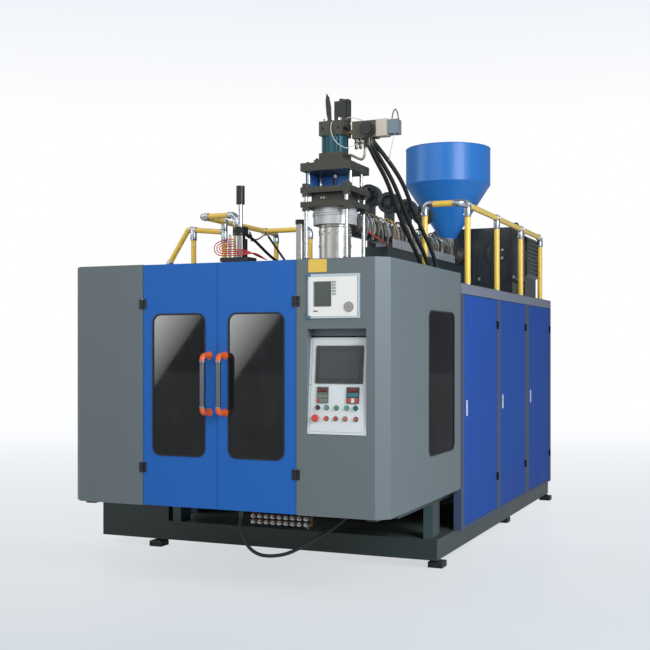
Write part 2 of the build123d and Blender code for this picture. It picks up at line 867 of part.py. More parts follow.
def make_step_rail(ahead, behind, down):
    """The low rail across the landing, with its posts and the bend down to the last post."""
    up = rail_z
    low = up - step_drop
    post_rise, bend_rise, end_rise = step_heights
    start = (-rail_side, step_y, low)
    tee = (-wing_reach + step_post_reach, step_y, low + post_rise)
    bend = (-wing_reach + step_bend_reach, step_y, low + bend_rise)
    end = (-wing_reach + step_end_reach, step_y, low + end_rise)
    outward = (Vector(*tee) - Vector(*start)).normalized()
    inward = tuple(outward * -1)
    onward = (Vector(*bend) - Vector(*tee)).normalized()
    slope = (Vector(*end) - Vector(*bend)).normalized()
    upper = fitting((-rail_side, step_y, up), (ahead, behind, down),
                    (tee_sleeve, tee_sleeve, step_drop - 10))
    lower = fitting(start, (tuple(outward), down), (tee_sleeve, post_sleeve))
    keep("handrails", upper + lower)
    keep("handrails", fitting(tee, (inward, tuple(onward), down),
                              (tee_sleeve, rail_radius + fitting_wall + 1, post_sleeve)))
    keep("handrails", fitting(end, (tuple(slope * -1), down), (sleeve, sleeve)))
    keep("handrails", rail_tube(start, tee))
    first = Vector(*tee) + onward * rail_radius
    last = Vector(*end) - slope * rail_radius
    path = FilletPolyline(tuple(first), bend, tuple(last), radius=bend_radius)
    start_plane = Plane(origin=path @ 0, z_dir=path % 0)
    bent = sweep(start_plane * Circle(rail_radius), path=path)
    bent -= sweep(start_plane * Circle(rail_radius - rail_wall), path=path)
    keep("handrails", bent)
    for x, y, z in (start, tee, end):
        keep("handrails", rail_post(x, y, z - rail_radius, deck_top))


def make_controller():
    """The parison controller in its cut-out, with a screen, keys and a round pad."""
    plate = rounded_plate(controller_right - controller_left, controller_top - controller_low,
                          8, -8, 0)
    plate = Pos((controller_left + controller_right) / 2, 0,
                (controller_low + controller_top) / 2) * plate
    body = block(controller_left + 20 + gap, controller_right - 20 - gap, 0, 130,
                 controller_low + 20 + gap, controller_top - 20 - gap)
    unit = plate + body
    unit -= block(screen_span[0], screen_span[1], -9, -3, screen_heights[0], screen_heights[1])
    for column in range(2):
        for row in range(5):
            x = 828 + 15 * column
            z = 2036 - 19 * row
            unit += block(x - 5, x + 5, -11, -7, z - 6, z + 6)
    pad = rod_y(937, -12, -8, 1877, 33)
    keep("controller_unit", unit, pad)
    keep("panel_displays", block(screen_span[0] + gap, screen_span[1] - gap, -6, -3,
                                 screen_heights[0] + gap, screen_heights[1] - gap))


def on_panel(x, z):
    """The place on the leaning panel's face at a height above the floor."""
    rise = z - panel_low
    y = rise * panel_lean / panel_height
    return Pos(x, y, z) * Rot(-panel_tilt, 0, 0)


def control_places():
    """Each control's node with its place on the panel, row by row."""
    upper = ("selector_left", "start_button_1", "start_button_2", "start_button_3",
             "selector_right")
    lower = ("emergency_stop", "stop_button_1", "stop_button_2", "stop_button_3",
             "stop_button_4")
    places = [(node, x, upper_row) for node, x in zip(upper, upper_controls)]
    return places + [(node, x, lower_row) for node, x in zip(lower, lower_controls)]


def make_operator_panel():
    """The leaning panel with its bezels and switch bodies, screen, meters and controls."""
    height = panel_height / cos(radians(panel_tilt)) - 8
    width = recess_right - recess_left - 2 * gap
    middle = (recess_left + recess_right) / 2
    base = on_panel(middle, panel_low)
    plate = base * block(-width / 2, width / 2, 0, panel_thickness, 0, height)
    plate += base * block(-width / 2, width / 2, 0, 18, 0, panel_thickness)
    plate += base * block(-width / 2, width / 2, 0, 18, height - panel_thickness, height)
    switches = []
    for node, x, z in control_places():
        place = on_panel(x, z)
        cutout = place * rod_y(0, -1, 20, 0, button_bore + 1.5)
        plate -= cutout
        body = rod_y(0, -bezel_height, 0, 0, bezel_radius)
        body += rod_y(0, 0, button_body, 0, button_bore + 1.4)
        body += rod_y(0, panel_thickness, panel_thickness + 6, 0, bezel_radius + 2)
        body -= control_bore(node)
        switches.append(place * body)
        make_control(node, place)
    keep("operator_panel", plate, *switches)
    centre_x = (touch_span[0] + touch_span[1]) / 2
    centre_z = (touch_heights[0] + touch_heights[1]) / 2
    screen = rounded_plate(touch_span[1] - touch_span[0], touch_heights[1] - touch_heights[0],
                           6, -7, 0)
    keep("panel_displays", on_panel(centre_x, centre_z) * screen)
    for x0, x1 in meter_spans:
        centre = ((x0 + x1) / 2, (meter_heights[0] + meter_heights[1]) / 2)
        meter = rounded_plate(x1 - x0, meter_heights[1] - meter_heights[0], 4, -9, 0)
        keep("panel_displays", on_panel(*centre) * meter)


def control_bore(node):
    """The bore that a control turns or slides in."""
    if node.startswith(("start", "stop")):
        return rod_y(0, -bezel_height - 1, 26, 0, button_bore)
    return rod_y(0, -bezel_height - 1, 26, 0, 8 + shaft_fit)


def make_control(node, place):
    """A push button, the mushroom stop or a selector knob."""
    if node.startswith(("start", "stop")):
        cap = rod_y(0, -bezel_height - 8, 16, 0, button_radius)
    elif node == "emergency_stop":
        clear = bezel_height + button_travel + 1
        cap = rod_y(0, -clear - 16, -clear, 0, stop_mushroom_radius)
        cap = fillet(cap.edges().filter_by(GeomType.CIRCLE).group_by(Axis.Y)[0], 7)
        cap += rod_y(0, -clear - 1, 18, 0, 8)
    else:
        clear = bezel_height + 1
        cap = rod_y(0, -clear - 8, -clear, 0, 14)
        cap += block(-4, 4, -clear - 16, -clear - 7, -14, 14)
        cap += rod_y(0, -clear - 1, 18, 0, 8)
    keep(node, place * cap)


def make_manifold():
    """The cooling water manifold under the doors, with two rows of fittings."""
    x0, x1 = 183, 620
    y = 150
    body = None
    for z in (500, 462):
        row = block(x0, x1, y - 30, y, z - 12, z + 12)
        body = row if body is None else body + row
        for index in range(9):
            x = x0 + 26 + index * (x1 - x0 - 52) / 8
            body += rod_y(x, y - 62, y - 29, z, 9)
            body += Pos(x, y - 44, z) * Rot(90, 0, 0) * Cylinder(12, 12)
            body += rod_y(x, y - 72, y - 61, z, 6)
    for x in (x0 + 10, x1 - 10):
        body += block(x - 8, x + 8, y - 12, y, 462, housing_bottom - bearer_plate / 2)
    body += rod_z(592, y - 15, 430, 455, 8)
    keep("water_manifold", body)


def make_bed():
    """The cross rails under the clamp and the shuttle cylinder."""
    reach = bearer_inner + 44
    bed = None
    for side in (-1, 1):
        y = press_y + side * rail_gauge / 2
        beam = block(-reach, reach, y - rail_beam / 2, y + rail_beam / 2, housing_bottom, bed_top)
        bed = beam if bed is None else bed + beam
        rail = block(-reach, reach, y - rail_size / 2, y + rail_size / 2, bed_top, rail_top)
        for edge in (-1, 1):
            groove = rod_x(-reach, reach, y + edge * rail_size / 2, bed_top + rail_size / 2, 6)
            rail -= groove
        bed += rail
    back, front = shuttle_barrel()
    tie_front = press_y - rail_gauge / 2
    tie_rear = press_y + rail_gauge / 2
    for x in (back, front - rail_beam):
        bed += block(x, x + rail_beam, tie_front, tie_rear, housing_bottom, bed_top)
    last = Vector(*drain_route[-1])
    along = (last - Vector(*drain_route[-2])).normalized()
    bed += bar(tuple(last), tuple(last + along * 60), drain_radius + 5)
    z = bed_top + shuttle_cylinder_radius
    barrel = rod_x(back, front, press_y, z, shuttle_cylinder_radius)
    for x in (back, front - rail_beam / 2):
        barrel += block(x, x + rail_beam / 2, press_y - shuttle_cylinder_radius - 8,
                        press_y + shuttle_cylinder_radius + 8, bed_top, z + shuttle_cylinder_radius)
    barrel -= rod_x(back + 15, front - 15, press_y, z, shuttle_cylinder_radius - 8)
    barrel -= rod_x(front - 16, front + 1, press_y, z, shuttle_rod_radius + shaft_fit)
    keep("clamp_bed", bed, barrel)


def shuttle_barrel():
    """Left and right ends of the shuttle cylinder's barrel."""
    front = head_x - shuttle + 101
    return front - shuttle - 87, front


def make_carriage():
    """The shuttle table with its runner blocks, end plates, clamp cylinders and tie bars."""
    x0 = head_x - table_half_length
    x1 = head_x + table_half_length
    table = block(x0, x1, press_y - table_half_depth, press_y + table_half_depth,
                  table_bottom, table_top)
    for side in (-1, 1):
        y = press_y + side * rail_gauge / 2
        for x in (x0 + 80, x1 - 80):
            runner = block(x - 60, x + 60, y - 45, y + 45, bed_top + 12, table_bottom)
            runner -= block(x - 61, x + 61, y - rail_size / 2 - gap, y + rail_size / 2 + gap,
                            bed_top, rail_top + gap)
            table += runner
    _, front = shuttle_barrel()
    z = bed_top + shuttle_cylinder_radius
    lug = front + shuttle + 30
    table += block(lug, lug + 40, press_y - 40, press_y + 40, z - 40, table_bottom)
    table += rod_x(front - 45, lug + 1, press_y, z, shuttle_rod_radius)
    table += rod_x(front - 70, front - 44, press_y, z, shuttle_cylinder_radius - 8 - shaft_fit)
    for side in (-1, 1):
        near = press_y + side * end_plate_face
        far = press_y + side * end_plate_back
        plate = block(head_x - platen_half_width, head_x + platen_half_width, near, far,
                      table_top, platen_top)
        clamp_z = (platen_bottom + platen_top) / 2
        outer = press_y + side * (end_plate_back + clamp_cylinder_length)
        plate += rod_y(head_x, far - side, outer, clamp_z, clamp_cylinder_radius)
        plate += rod_y(head_x, outer - side * 30, outer, clamp_z, clamp_cylinder_radius + 14)
        plate -= rod_y(head_x, near - side, far + side * 6, clamp_z, clamp_rod_radius + shaft_fit)
        plate -= rod_y(head_x, far + side * 5, outer - side * 20, clamp_z,
                       clamp_cylinder_radius - 14)
        table += plate
    for sign in (-1, 1):
        for z in tie_bar_heights:
            table += rod_y(head_x + sign * tie_bar_side, press_y - end_plate_back - 30,
                           press_y + end_plate_back + 30, z, tie_bar_radius)
    keep("carriage_frame", table)


def make_platen(node, side):
    """A platen with its half mould, piston rod and guide holes."""
    face = press_y + side * (mould_opening + 0.1)
    back = face + side * mould_thickness
    rear = back + side * platen_thickness
    platen = block(head_x - platen_half_width, head_x + platen_half_width, back, rear,
                   platen_bottom, platen_top)
    for x_sign in (-1, 1):
        for z in tie_bar_heights:
            platen -= rod_y(head_x + x_sign * tie_bar_side, back - side, rear + side, z,
                            tie_bar_radius + gap)
    clamp_z = (platen_bottom + platen_top) / 2
    inside = press_y + side * (end_plate_back + mould_opening + 15)
    platen += rod_y(head_x, rear - side, inside, clamp_z, clamp_rod_radius)
    platen += rod_y(head_x, inside - side, inside + side * 18, clamp_z,
                    clamp_cylinder_radius - 14 - shaft_fit)
    mould = block(head_x - mould_half_width, head_x + mould_half_width, face, back,
                  mould_bottom, mould_top)
    mould -= rod_z(head_x, face, mould_bottom + 60, mould_top - 95, 85)
    mould -= rod_z(head_x, face, mould_top - 96, mould_top + 1, blow_rod_radius + 8)
    platen += mould
    keep(node, platen)


def make_head_frame():
    """Support beams, support plate, rods and plates of the die head tower, and the column."""
    x = head_x
    y = press_y
    frame = None
    for side in (-1, 1):
        beam = block(x + side * 160, x + side * 240, y - 150, 2500, deck_top, support_beam_top)
        frame = beam if frame is None else frame + beam
    column_x = x - 278
    plate = block(column_x - 45, x + 240, y - 230, y + 230, support_beam_top, support_plate_top)
    plate -= rod_z(x, y, support_beam_top - 1, support_plate_top + 1, die_radius + gap)
    frame += plate
    for x_sign in (-1, 1):
        for y_sign in (-1, 1):
            frame += rod_z(x + x_sign * 157, y + y_sign * 168, support_plate_top,
                           upper_rods_z + 12, lower_rod_radius)
            frame += rod_z(x + x_sign * 162, y + y_sign * 105, upper_rods_z - 1,
                           top_plate_z + 1, upper_rod_radius)
            for z in (lower_plate_z - 26, middle_plate_z - 26, upper_rods_z):
                frame += hex_bolt(x + x_sign * 157, y + y_sign * 168, z, 52, 26)
    plates = ((lower_plate_z, lower_plate_thickness), (middle_plate_z, middle_plate_thickness),
              (top_plate_z, top_plate_thickness))
    for z, thickness in plates:
        frame += block(x - tower_half_x, x + tower_half_x, y - tower_half_y, y + tower_half_y,
                       z, z + thickness)
    frame += block(x - 130, x + 130, y - 130, y + 130, spacer_z, middle_plate_z)
    frame -= rod_z(x, y, lower_plate_z - 1, flange_z + 1, mandrel_radius / 2 + shaft_fit)
    frame -= rod_z(x, y, lower_plate_z - 1, upper_rods_z + 1, mandrel_radius + shaft_fit)
    frame += rod_z(column_x, y, support_plate_top - 1, 2528, 30)
    frame += rod_z(column_x, y, 2528, 2561, 36)
    keep("head_frame", frame)
    guard = block(x - 186, x + 60, y + 120, y + 120 + sheet, upper_rods_z, top_plate_z)
    guard += block(x - 186, x - 186 + sheet, y - 105, y + 121, upper_rods_z, top_plate_z)
    keep("head_frame", guard)


def make_die_head():
    """The collar and the die body with its ring, bored for the mandrel."""
    x = head_x
    y = press_y
    collar_z = lower_plate_z - collar_height
    body = rod_z(x, y, collar_z, lower_plate_z, collar_radius)
    body += rod_z(x, y, die_bottom + 60, collar_z + 1, die_radius)
    body += rod_z(x, y, die_bottom, die_bottom + 61, die_radius - 30)
    for z in (2070, 2190, 2350, 2455):
        body += rod_z(x, y, z, z + 12, die_radius - gap if z < 2250 else die_radius + 5)
    body += block(x - 60, x + 60, y, barrel_front - 90, axis_z - 36, axis_z + 60)
    channel = mandrel_radius + 10
    body -= rod_z(x, y, die_bottom - 1, axis_z + 30, channel)
    body -= rod_z(x, y, axis_z + 29, lower_plate_z + 1, mandrel_radius + shaft_fit)
    body -= rod_y(x, y, barrel_front, axis_z, 15)
    keep("die_head", body)


def make_head_cylinder():
    """Flanges, cylinder and head block of the mandrel drive, with its position sensor."""
    x = head_x
    y = press_y
    z = flange_z
    body = None
    for half, height in zip((118, 90), flange_heights):
        step = block(x - half, x + half, y - half, y + half, z, z + height)
        body = step if body is None else body + step
        z += height
    body -= rod_z(x, y, flange_z - 1, cylinder_z + 1, mandrel_radius / 2 + shaft_fit)
    tube = rod_z(x, y, cylinder_z, head_block_z, cylinder_radius)
    tube -= rod_z(x, y, cylinder_z - 1, head_block_z + 1, cylinder_bore)
    head = block(x - 90, x + 90, y - 90, y + 90, head_block_z, head_block_top)
    for side_x in (-1, 1):
        for side_y in (-1, 1):
            body += rod_z(x + side_x * 66, y + side_y * 78, cylinder_z - 1, head_block_z, 6)
            head += hex_bolt(x + side_x * 66, y + side_y * 68, head_block_top, 28, 20)
    keep("head_cylinder", body, tube, head)
    top = head_block_top
    sensor = block(x + 5, x + 95, y - 30, y + 50, top, top + 150)
    sensor += block(x + 40, x + 110, y - 20, y + 40, top, top + 162)
    sensor += rod_z(x + 46, y + 8, top + 140, top + 172, 16)
    sensor += rod_x(x + 90, x + 114, y - 60, top - 30, 24)
    sensor += block(x + 90, x + 104, y - 84, y + 40, top - 50, top + 4)
    fin_points = [(-30, 0), (-44, 60), (-51, 150), (-43, 206), (-24, 178), (-10, 110), (-6, 0)]
    outline = make_face(Polyline(*[(x + px, top + pz) for px, pz in fin_points], close=True))
    fin = Pos(0, y - 50, 0) * extrude(Plane.XZ * outline, 10)
    fin += block(x - 34, x - 2, y - 70, y - 40, top, top + 12)
    keep("head_cylinder", sensor, fin)


def make_mandrel():
    """Piston, rod and mandrel in one turned shaft."""
    x = head_x
    y = press_y
    piston_z = cylinder_z + piston_height + mandrel_travel
    shaft = rod_z(x, y, die_bottom, lower_plate_z + 60, mandrel_radius)
    shaft += rod_z(x, y, lower_plate_z + 59, piston_z + 1, mandrel_radius / 2)
    shaft += rod_z(x, y, piston_z, piston_z + piston_height, cylinder_bore - shaft_fit)
    shaft += Pos(x, y, die_bottom + 15) * Cone(mandrel_radius + 6, mandrel_radius, 30)
    keep("mandrel", shaft)


def make_servo_valve():
    """The servo valve with its manifold, caps, cable loop, pipes and hose fittings."""
    y = press_y
    valve = block(611, 791, y - 45, y + 45, 3119, 3241)
    valve += rod_y(730, y - 62, y - 44, 3175, 54)
    valve += rod_y(730, y - 74, y - 60, 3175, 38)
    valve += rod_y(690, y - 60, y - 44, 3205, 13)
    cap = block(791 + gap, 877, y - 40, y + 40, 3125, 3245)
    end = block(877 + gap, 956, y - 42, y + 42, 3135, 3236)
    keep("servo_valve_unit", valve, cap, end)
    loop_points = [(897, y, 3236), (905, y, 3285), (924, y, 3322), (940, y, 3288), (950, y, 3236)]
    loop = tube_along("servo cable loop", loop_points, 4)
    keep("servo_valve_unit", loop)
    upper = rod_x(head_x + 90, 611, y, 3174, 16)
    upper += rod_x(head_x + 90, head_x + 104, y, 3174, 24)
    keep("servo_valve_unit", upper)
    route = [(head_x + 90, y - 20, 3008), (595, y - 20, 3008), (635, y - 20, 2984),
             (680, y - 20, 2966), (698, y - 20, 2990), (702, y - 20, 3050)]
    lower = tube_along("cylinder pipe", route, 9)
    keep("servo_valve_unit", lower)
    fittings = rod_z(702, y - 20, 3050, 3119, 11)
    fittings += hex_bolt(702, y - 20, 3078, 26, 20)
    for x in (636, 668):
        fittings += rod_z(x, y - 20, 3060, 3119, 12)
        fittings += hex_bolt(x, y - 20, 3078, 29, 18)
        fittings += Pos(x, y - 20, 3056) * Sphere(13)
    for route, reach in zip(hydraulic_routes, (22, 22, 18)):
        first = Vector(*route[0])
        away = (first - Vector(*route[1])).normalized()
        turn = first + away * reach
        fittings += bar(tuple(first), tuple(turn), hose_radius + 1)
        fittings += Pos(*turn) * Sphere(hose_radius + 1)
        fittings += rod_z(turn.X, turn.Y, turn.Z, 3119, hose_radius + 1)
    fittings -= block(600, 900, y - 60, y + 60, 3119, 3260)
    keep("servo_valve_unit", fittings)


def make_blow_station():
    """Cantilever beam, base block, cylinder and guide block of the blow pin."""
    x = blow_x
    y = press_y
    bore = blow_rod_radius + shaft_fit
    beam_top_z = blow_base_top - 30
    station = block(x - 60, x + 60, y - 70, 2300, deck_top, beam_top_z)
    station += block(x - 138, x + 100, y - 70, y + 70, beam_top_z, blow_base_top)
    station += block(x - 30, x + 30, y - 22.5, y + 22.5, blow_base_top, 2466)
    for side in (-1, 1):
        station += rod_z(x + side * 24, y - 26, blow_base_top, 2466, 8)
        station += block(x + side * 32, x + side * 44, y - 10, y + 30, blow_base_top, 2440)
    station += block(x - 45, x + 45, y - 40, y + 40, 2466, 2531)
    station -= rod_z(x, y, deck_top - 1, 2532, bore)
    first = Vector(*blow_routes[0][0])
    away = (first - Vector(*blow_routes[0][1])).normalized()
    gland = bar(tuple(first), tuple(first + away * 40), blow_hose_radius + 4)
    station += gland - block(x - 44, x + 44, y - 39, y + 39, 2400, 2540)
    post = block(-397, -379, y - 34, y - 16, blow_base_top, 2462)
    post += rod_z(-388, y - 25, 2462, 2474, 6)
    for turn in range(loop_count):
        z = loop_middle + (turn - 1.5) * 22
        post += rod_y(-388, y - 42, y - 33, z, 8)
    keep("blow_station", station, post)


def make_blow_pin():
    """The blow pin with its stop cap above and its cutter ring below."""
    x = blow_x
    y = press_y
    cap_z = 2531 + blow_stroke + 6
    pin = rod_z(x, y, blow_tip_low + 60, cap_z + 1, blow_rod_radius)
    pin += rod_z(x, y, cap_z, cap_z + 138, 32)
    pin += rod_z(x, y, blow_tip_low + 20, blow_tip_low + 61, blow_rod_radius - 3)
    pin += Pos(x, y, blow_tip_low + 10) * Cone(8, blow_rod_radius - 3, 20)
    keep("blow_pin", pin)


def make_extruder():
    """Barrel with adaptor and feed throat, its bed beam and the wiring trough."""
    x = head_x
    barrel = rod_y(x, barrel_front - 20, barrel_rear, axis_z, barrel_radius)
    barrel += rod_y(x, barrel_front - 90 + gap, barrel_front, axis_z, 50)
    barrel += rod_y(x, barrel_front - 30, barrel_front + 30, axis_z, 90)
    barrel += rod_y(x, barrel_rear - 60, barrel_rear, axis_z, 110)
    barrel += block(x - 80, x + 80, hopper_y - 80, hopper_y + 80, axis_z - 60, throat_top)
    barrel -= rod_y(x, barrel_front, barrel_rear + 1, axis_z, barrel_bore)
    barrel -= rod_y(x, barrel_front - 100, barrel_front + 1, axis_z, 15)
    barrel -= rod_z(x, hopper_y, axis_z, throat_top + 1, throat_radius - 6)
    bed = block(x - 100, x + 100, 1750, barrel_rear, deck_top, trough_floor - sheet)
    slope = flat_shape([(1749, deck_top - 1), (1749, trough_floor), (1949, trough_floor)],
                       x - 101, x + 101)
    bed -= Rot(90, 0, 90) * slope
    trough = block(x - trough_half, x + trough_half, trough_front, trough_rear,
                   trough_floor - sheet, trough_floor + trough_side)
    trough -= block(x - trough_half + sheet, x + trough_half - sheet, trough_front - 1,
                    trough_rear + 1, trough_floor, trough_floor + trough_side + 1)
    for place in saddle_places():
        saddle = block(x - 50, x + 50, place - 12, place + 12, trough_floor, axis_z)
        trough += saddle - rod_y(x, place - 13, place + 13, axis_z, barrel_radius)
    keep("extruder_barrel", barrel, bed, trough)


def saddle_places():
    """Y of the barrel saddles, between the heater bands."""
    return [band_start(index) - (band_space - band_length) / 2 for index in (2, 4, 6)]


def band_start(index):
    """Front Y of a heater band."""
    return barrel_front + 60 + index * band_space


def make_bands():
    """Heater bands around the barrel."""
    for index in range(band_count):
        y0 = band_start(index)
        band = rod_y(head_x, y0, y0 + band_length, axis_z, band_radius)
        band += block(head_x - 14, head_x + 14, y0, y0 + band_length, axis_z + band_radius - 4,
                      axis_z + band_radius + 14)
        keep("heater_bands", band - rod_y(head_x, y0 - 1, y0 + band_length + 1, axis_z,
                                          barrel_radius + gap / 2))


def make_blowers():
    """Cooling blowers that stand on the heater bands."""
    x = head_x
    for y in blower_places:
        half = blower_width / 2
        foot = axis_z + band_radius + 14 + gap
        fan = rod_y(x, y - half, y + half, blower_z, blower_radius)
        fan -= rod_y(x, y - half - 1, y - half + 30, blower_z, blower_radius - 30)
        fan += rod_y(x, y - half + 8, y - half + 31, blower_z, 24)
        for blade in range(8):
            vane = block(x + 20, x + blower_radius - 29, y - half + 12, y - half + 31,
                         blower_z - 2, blower_z + 2)
            turn = Pos(x, 0, blower_z) * Rot(0, 45 * blade, 0) * Pos(-x, 0, -blower_z)
            fan += turn * vane
        fan += rod_y(x, y + half - 1, y + half + 90, blower_z, 52)
        fan += block(x - 34, x + 34, y - 34, y + 34, foot, blower_z - blower_radius + 12)
        keep("barrel_blowers", fan)


def make_screw():
    """The extruder screw with its flight, shank and driven gear."""
    x = head_x
    y0 = barrel_front + 20
    y1 = gear_front + gear_width + 60
    root = 29
    flight_start = y0 + 40
    flight_end = hopper_y + 60
    core = rod_y(x, flight_start, y1, axis_z, root)
    tip = Pos(x, y0 + 20, axis_z) * Rot(90, 0, 0) * Cone(root, 6, 40)
    helix = Helix(pitch=screw_pitch, height=flight_end - flight_start - 20, radius=root - 1,
                  center=(0, 0, 0), direction=(0, 0, 1))
    profile = Plane(origin=helix @ 0, x_dir=(1, 0, 0), z_dir=helix % 0)
    land = profile * (Pos((screw_radius - root + 1) / 2, 0)
                      * Rectangle(screw_radius - root + 1, 12))
    flight = sweep(land, path=helix, is_frenet=True)
    flight = Pos(x, flight_start + 10, axis_z) * Rot(-90, 0, 0) * flight
    collar_y = barrel_rear - 60
    screw = core + tip + flight
    screw += rod_y(x, collar_y, gearbox_front - 20, axis_z, barrel_bore - gap)
    screw += rod_y(x, gear_front - 20, gear_front + 1, axis_z, 60)
    screw += gear(x, gear_front, gear_front + gear_width, axis_z, screw_teeth, 0)
    print("screw solids", len(screw.solids()), "valid", screw.is_valid)
    keep("extruder_screw", screw)


def make_hopper():
    """The thin hopper with its long cone and foot flange, open at the top."""
    shoulder = hopper_top - hopper_side
    foot = shoulder - hopper_cone
    outside = [(hopper_foot_radius, foot), (hopper_foot_radius, foot + 1),
               (hopper_radius, shoulder), (hopper_radius, hopper_top)]
    inside = [(radius - hopper_wall, z) for radius, z in outside]
    outline = outside + inside[::-1]
    shell = revolve(Plane.XZ * make_face(Polyline(*outline, close=True)), Axis.Z)
    flange = rod_z(0, 0, foot, foot + 6, hopper_flange_radius)
    shell += flange - rod_z(0, 0, foot - 1, foot + 7, throat_radius - 1)
    rim = rod_z(0, 0, hopper_top - 8, hopper_top, hopper_radius)
    rim -= rod_z(0, 0, hopper_top - 9, hopper_top + 1, hopper_radius - 12)
    keep("hopper", Pos(head_x, hopper_y, throat_top + gap / 3 - foot) * (shell + rim))


def make_gearbox():
    """The hollow gearbox with its foot, bearing bosses, ribs, lifting eye and cover bolts."""
    x0, x1 = gearbox_left, gearbox_right
    y0, y1 = gearbox_front, gearbox_rear
    case = block(x0, x1, y0, y1, gearbox_bottom, gearbox_top)
    case = fillet(case.edges().filter_by(Axis.Y), gearbox_corner)
    case += block(x0 + 45, x1 - 45, y0 + 10, y1 - 10, deck_top, gearbox_bottom + 60)
    case += rod_y(head_x, y0 - 36, y0 + 1, axis_z, 150)
    case += rod_y(motor_x, y0 - 20, y0 + 1, axis_z, 100)
    for place in range(5):
        rib_x = x0 + 60 + place * (x1 - x0 - 120) / 4
        case += block(rib_x - 7, rib_x + 7, y0 - 14, y0 + 1, gearbox_bottom + 20, gearbox_top - 20)
    inner = block(x0 + gearbox_wall, x1 - gearbox_wall, y0 + gearbox_wall * 2, y1 - gearbox_wall,
                  gearbox_bottom + gearbox_wall, gearbox_top - gearbox_wall)
    case -= fillet(inner.edges().filter_by(Axis.Y), gearbox_corner - gearbox_wall)
    case -= rod_y(head_x, y0 - 37, y0 + gearbox_wall * 2 + 1, axis_z, barrel_bore + gap)
    case -= rod_y(head_x, gear_front + gear_width + 20, y1 + 1, axis_z,
                  screw_shank_radius + gap)
    case -= rod_y(motor_x, gear_front, y1 + 1, axis_z, motor_shaft_radius + shaft_fit)
    for x, z, seat in ((361, 2609, y0 - 36), (937, 2577, y0 - 20), (935, 2498, y0 - 20),
                       (699, 2300, y0), (1045, 2312, y0)):
        case += Pos(x, seat + 1, z) * Rot(90, 0, 0) * extrude(RegularPolygon(15, 6), 15)
    eye_x = x1 - 62
    eye_y = (y0 + y1) / 2 + 50
    case += rod_z(eye_x, eye_y, gearbox_top - 5, gearbox_top + 12, 26)
    eye = Pos(eye_x, eye_y, gearbox_top + 38) * Rot(90, 0, 0) * Torus(24, 8)
    keep("gearbox", case + eye)


def make_motor():
    """The drive motor with its square frame, end bells, pedestal and terminal box."""
    x = motor_x
    y0 = gearbox_rear
    y1 = y0 + motor_length
    shell = block(x - motor_radius, x + motor_radius, y0 + 60, y1 - 40,
                  axis_z - motor_radius, axis_z + motor_radius)
    shell = fillet(shell.edges().filter_by(Axis.Y), motor_corner)
    for rib in range(9):
        z = axis_z - 160 + 40 * rib
        for side in (-1, 1):
            shell -= block(x + side * (motor_radius - 12), x + side * (motor_radius + 1),
                           y0 + 90, y1 - 70, z - 9, z + 9)
    shell += rod_y(x, y0, y0 + 61, axis_z, motor_radius - 10)
    shell += rod_y(x, y1 - 120, y1, axis_z, motor_radius - 6)
    shell += block(x - motor_foot, x + motor_foot, y0 + 70, y1 - 50, deck_top,
                   axis_z - motor_radius + 30)
    shell += block(x - 110, x + 60, y0 + 180, y0 + 400, axis_z + motor_radius - 60,
                   axis_z + motor_radius + 60)
    shell -= rod_y(x, y0 + 90, y1 - 90, axis_z, rotor_radius + air_gap)
    shell -= rod_y(x, y0 - 1, y0 + 91, axis_z, motor_shaft_radius + shaft_fit)
    shell -= rod_y(x, y1 - 91, y1 - 50, axis_z, motor_shaft_radius + shaft_fit)
    keep("motor", shell)


def make_motor_shaft():
    """Rotor, shaft and pinion in one."""
    x = motor_x
    y0 = gearbox_rear
    y1 = y0 + motor_length
    shaft = rod_y(x, gear_front, y1 - 55, axis_z, motor_shaft_radius)
    shaft += rod_y(x, y0 + 100, y1 - 100, axis_z, rotor_radius)
    half_pitch = 180 / motor_teeth
    shaft += gear(x, gear_front, gear_front + gear_width, axis_z, motor_teeth, half_pitch)
    keep("motor_shaft", shaft)


def make_cabinet_equipment():
    """Hydraulic tank with pump and motor, and the electrical rack, inside the cabinet."""
    floor = pan_top
    x0, x1 = tank_span
    y0, y1 = tank_places
    wall = tank_wall
    lid = floor + tank_height - wall
    tank = block(x0, x1, y0, y1, floor, lid + wall)
    tank -= block(x0 + wall, x1 - wall, y0 + wall, y1 - wall, floor + wall, lid)
    motor_y = y0 + 350
    tank += rod_z((x0 + x1) / 2, motor_y, lid, lid + 506, pump_motor_radius)
    tank += rod_z((x0 + x1) / 2, motor_y, lid, lid + 26, pump_motor_radius + 40)
    tank += rod_z(x1 - 200, y1 - 250, lid, lid + 86, 60)
    x0, x1 = rack_span
    y0, y1 = rack_places
    wall = rack_wall
    rack = block(x0, x1, y0, y1, floor, floor + rack_tall)
    rack -= block(x0 + wall, x1 - wall, y0 + wall, y1 - wall, floor + wall,
                  floor + rack_tall - wall)
    for bay in range(4):
        door_y = y0 + 20 + bay * rack_door_pitch
        rack += block(x1, x1 + sheet, door_y, door_y + rack_door_pitch - 20, floor + 30,
                      floor + rack_tall - 30)
    keep("cabinet_equipment", tank, rack)


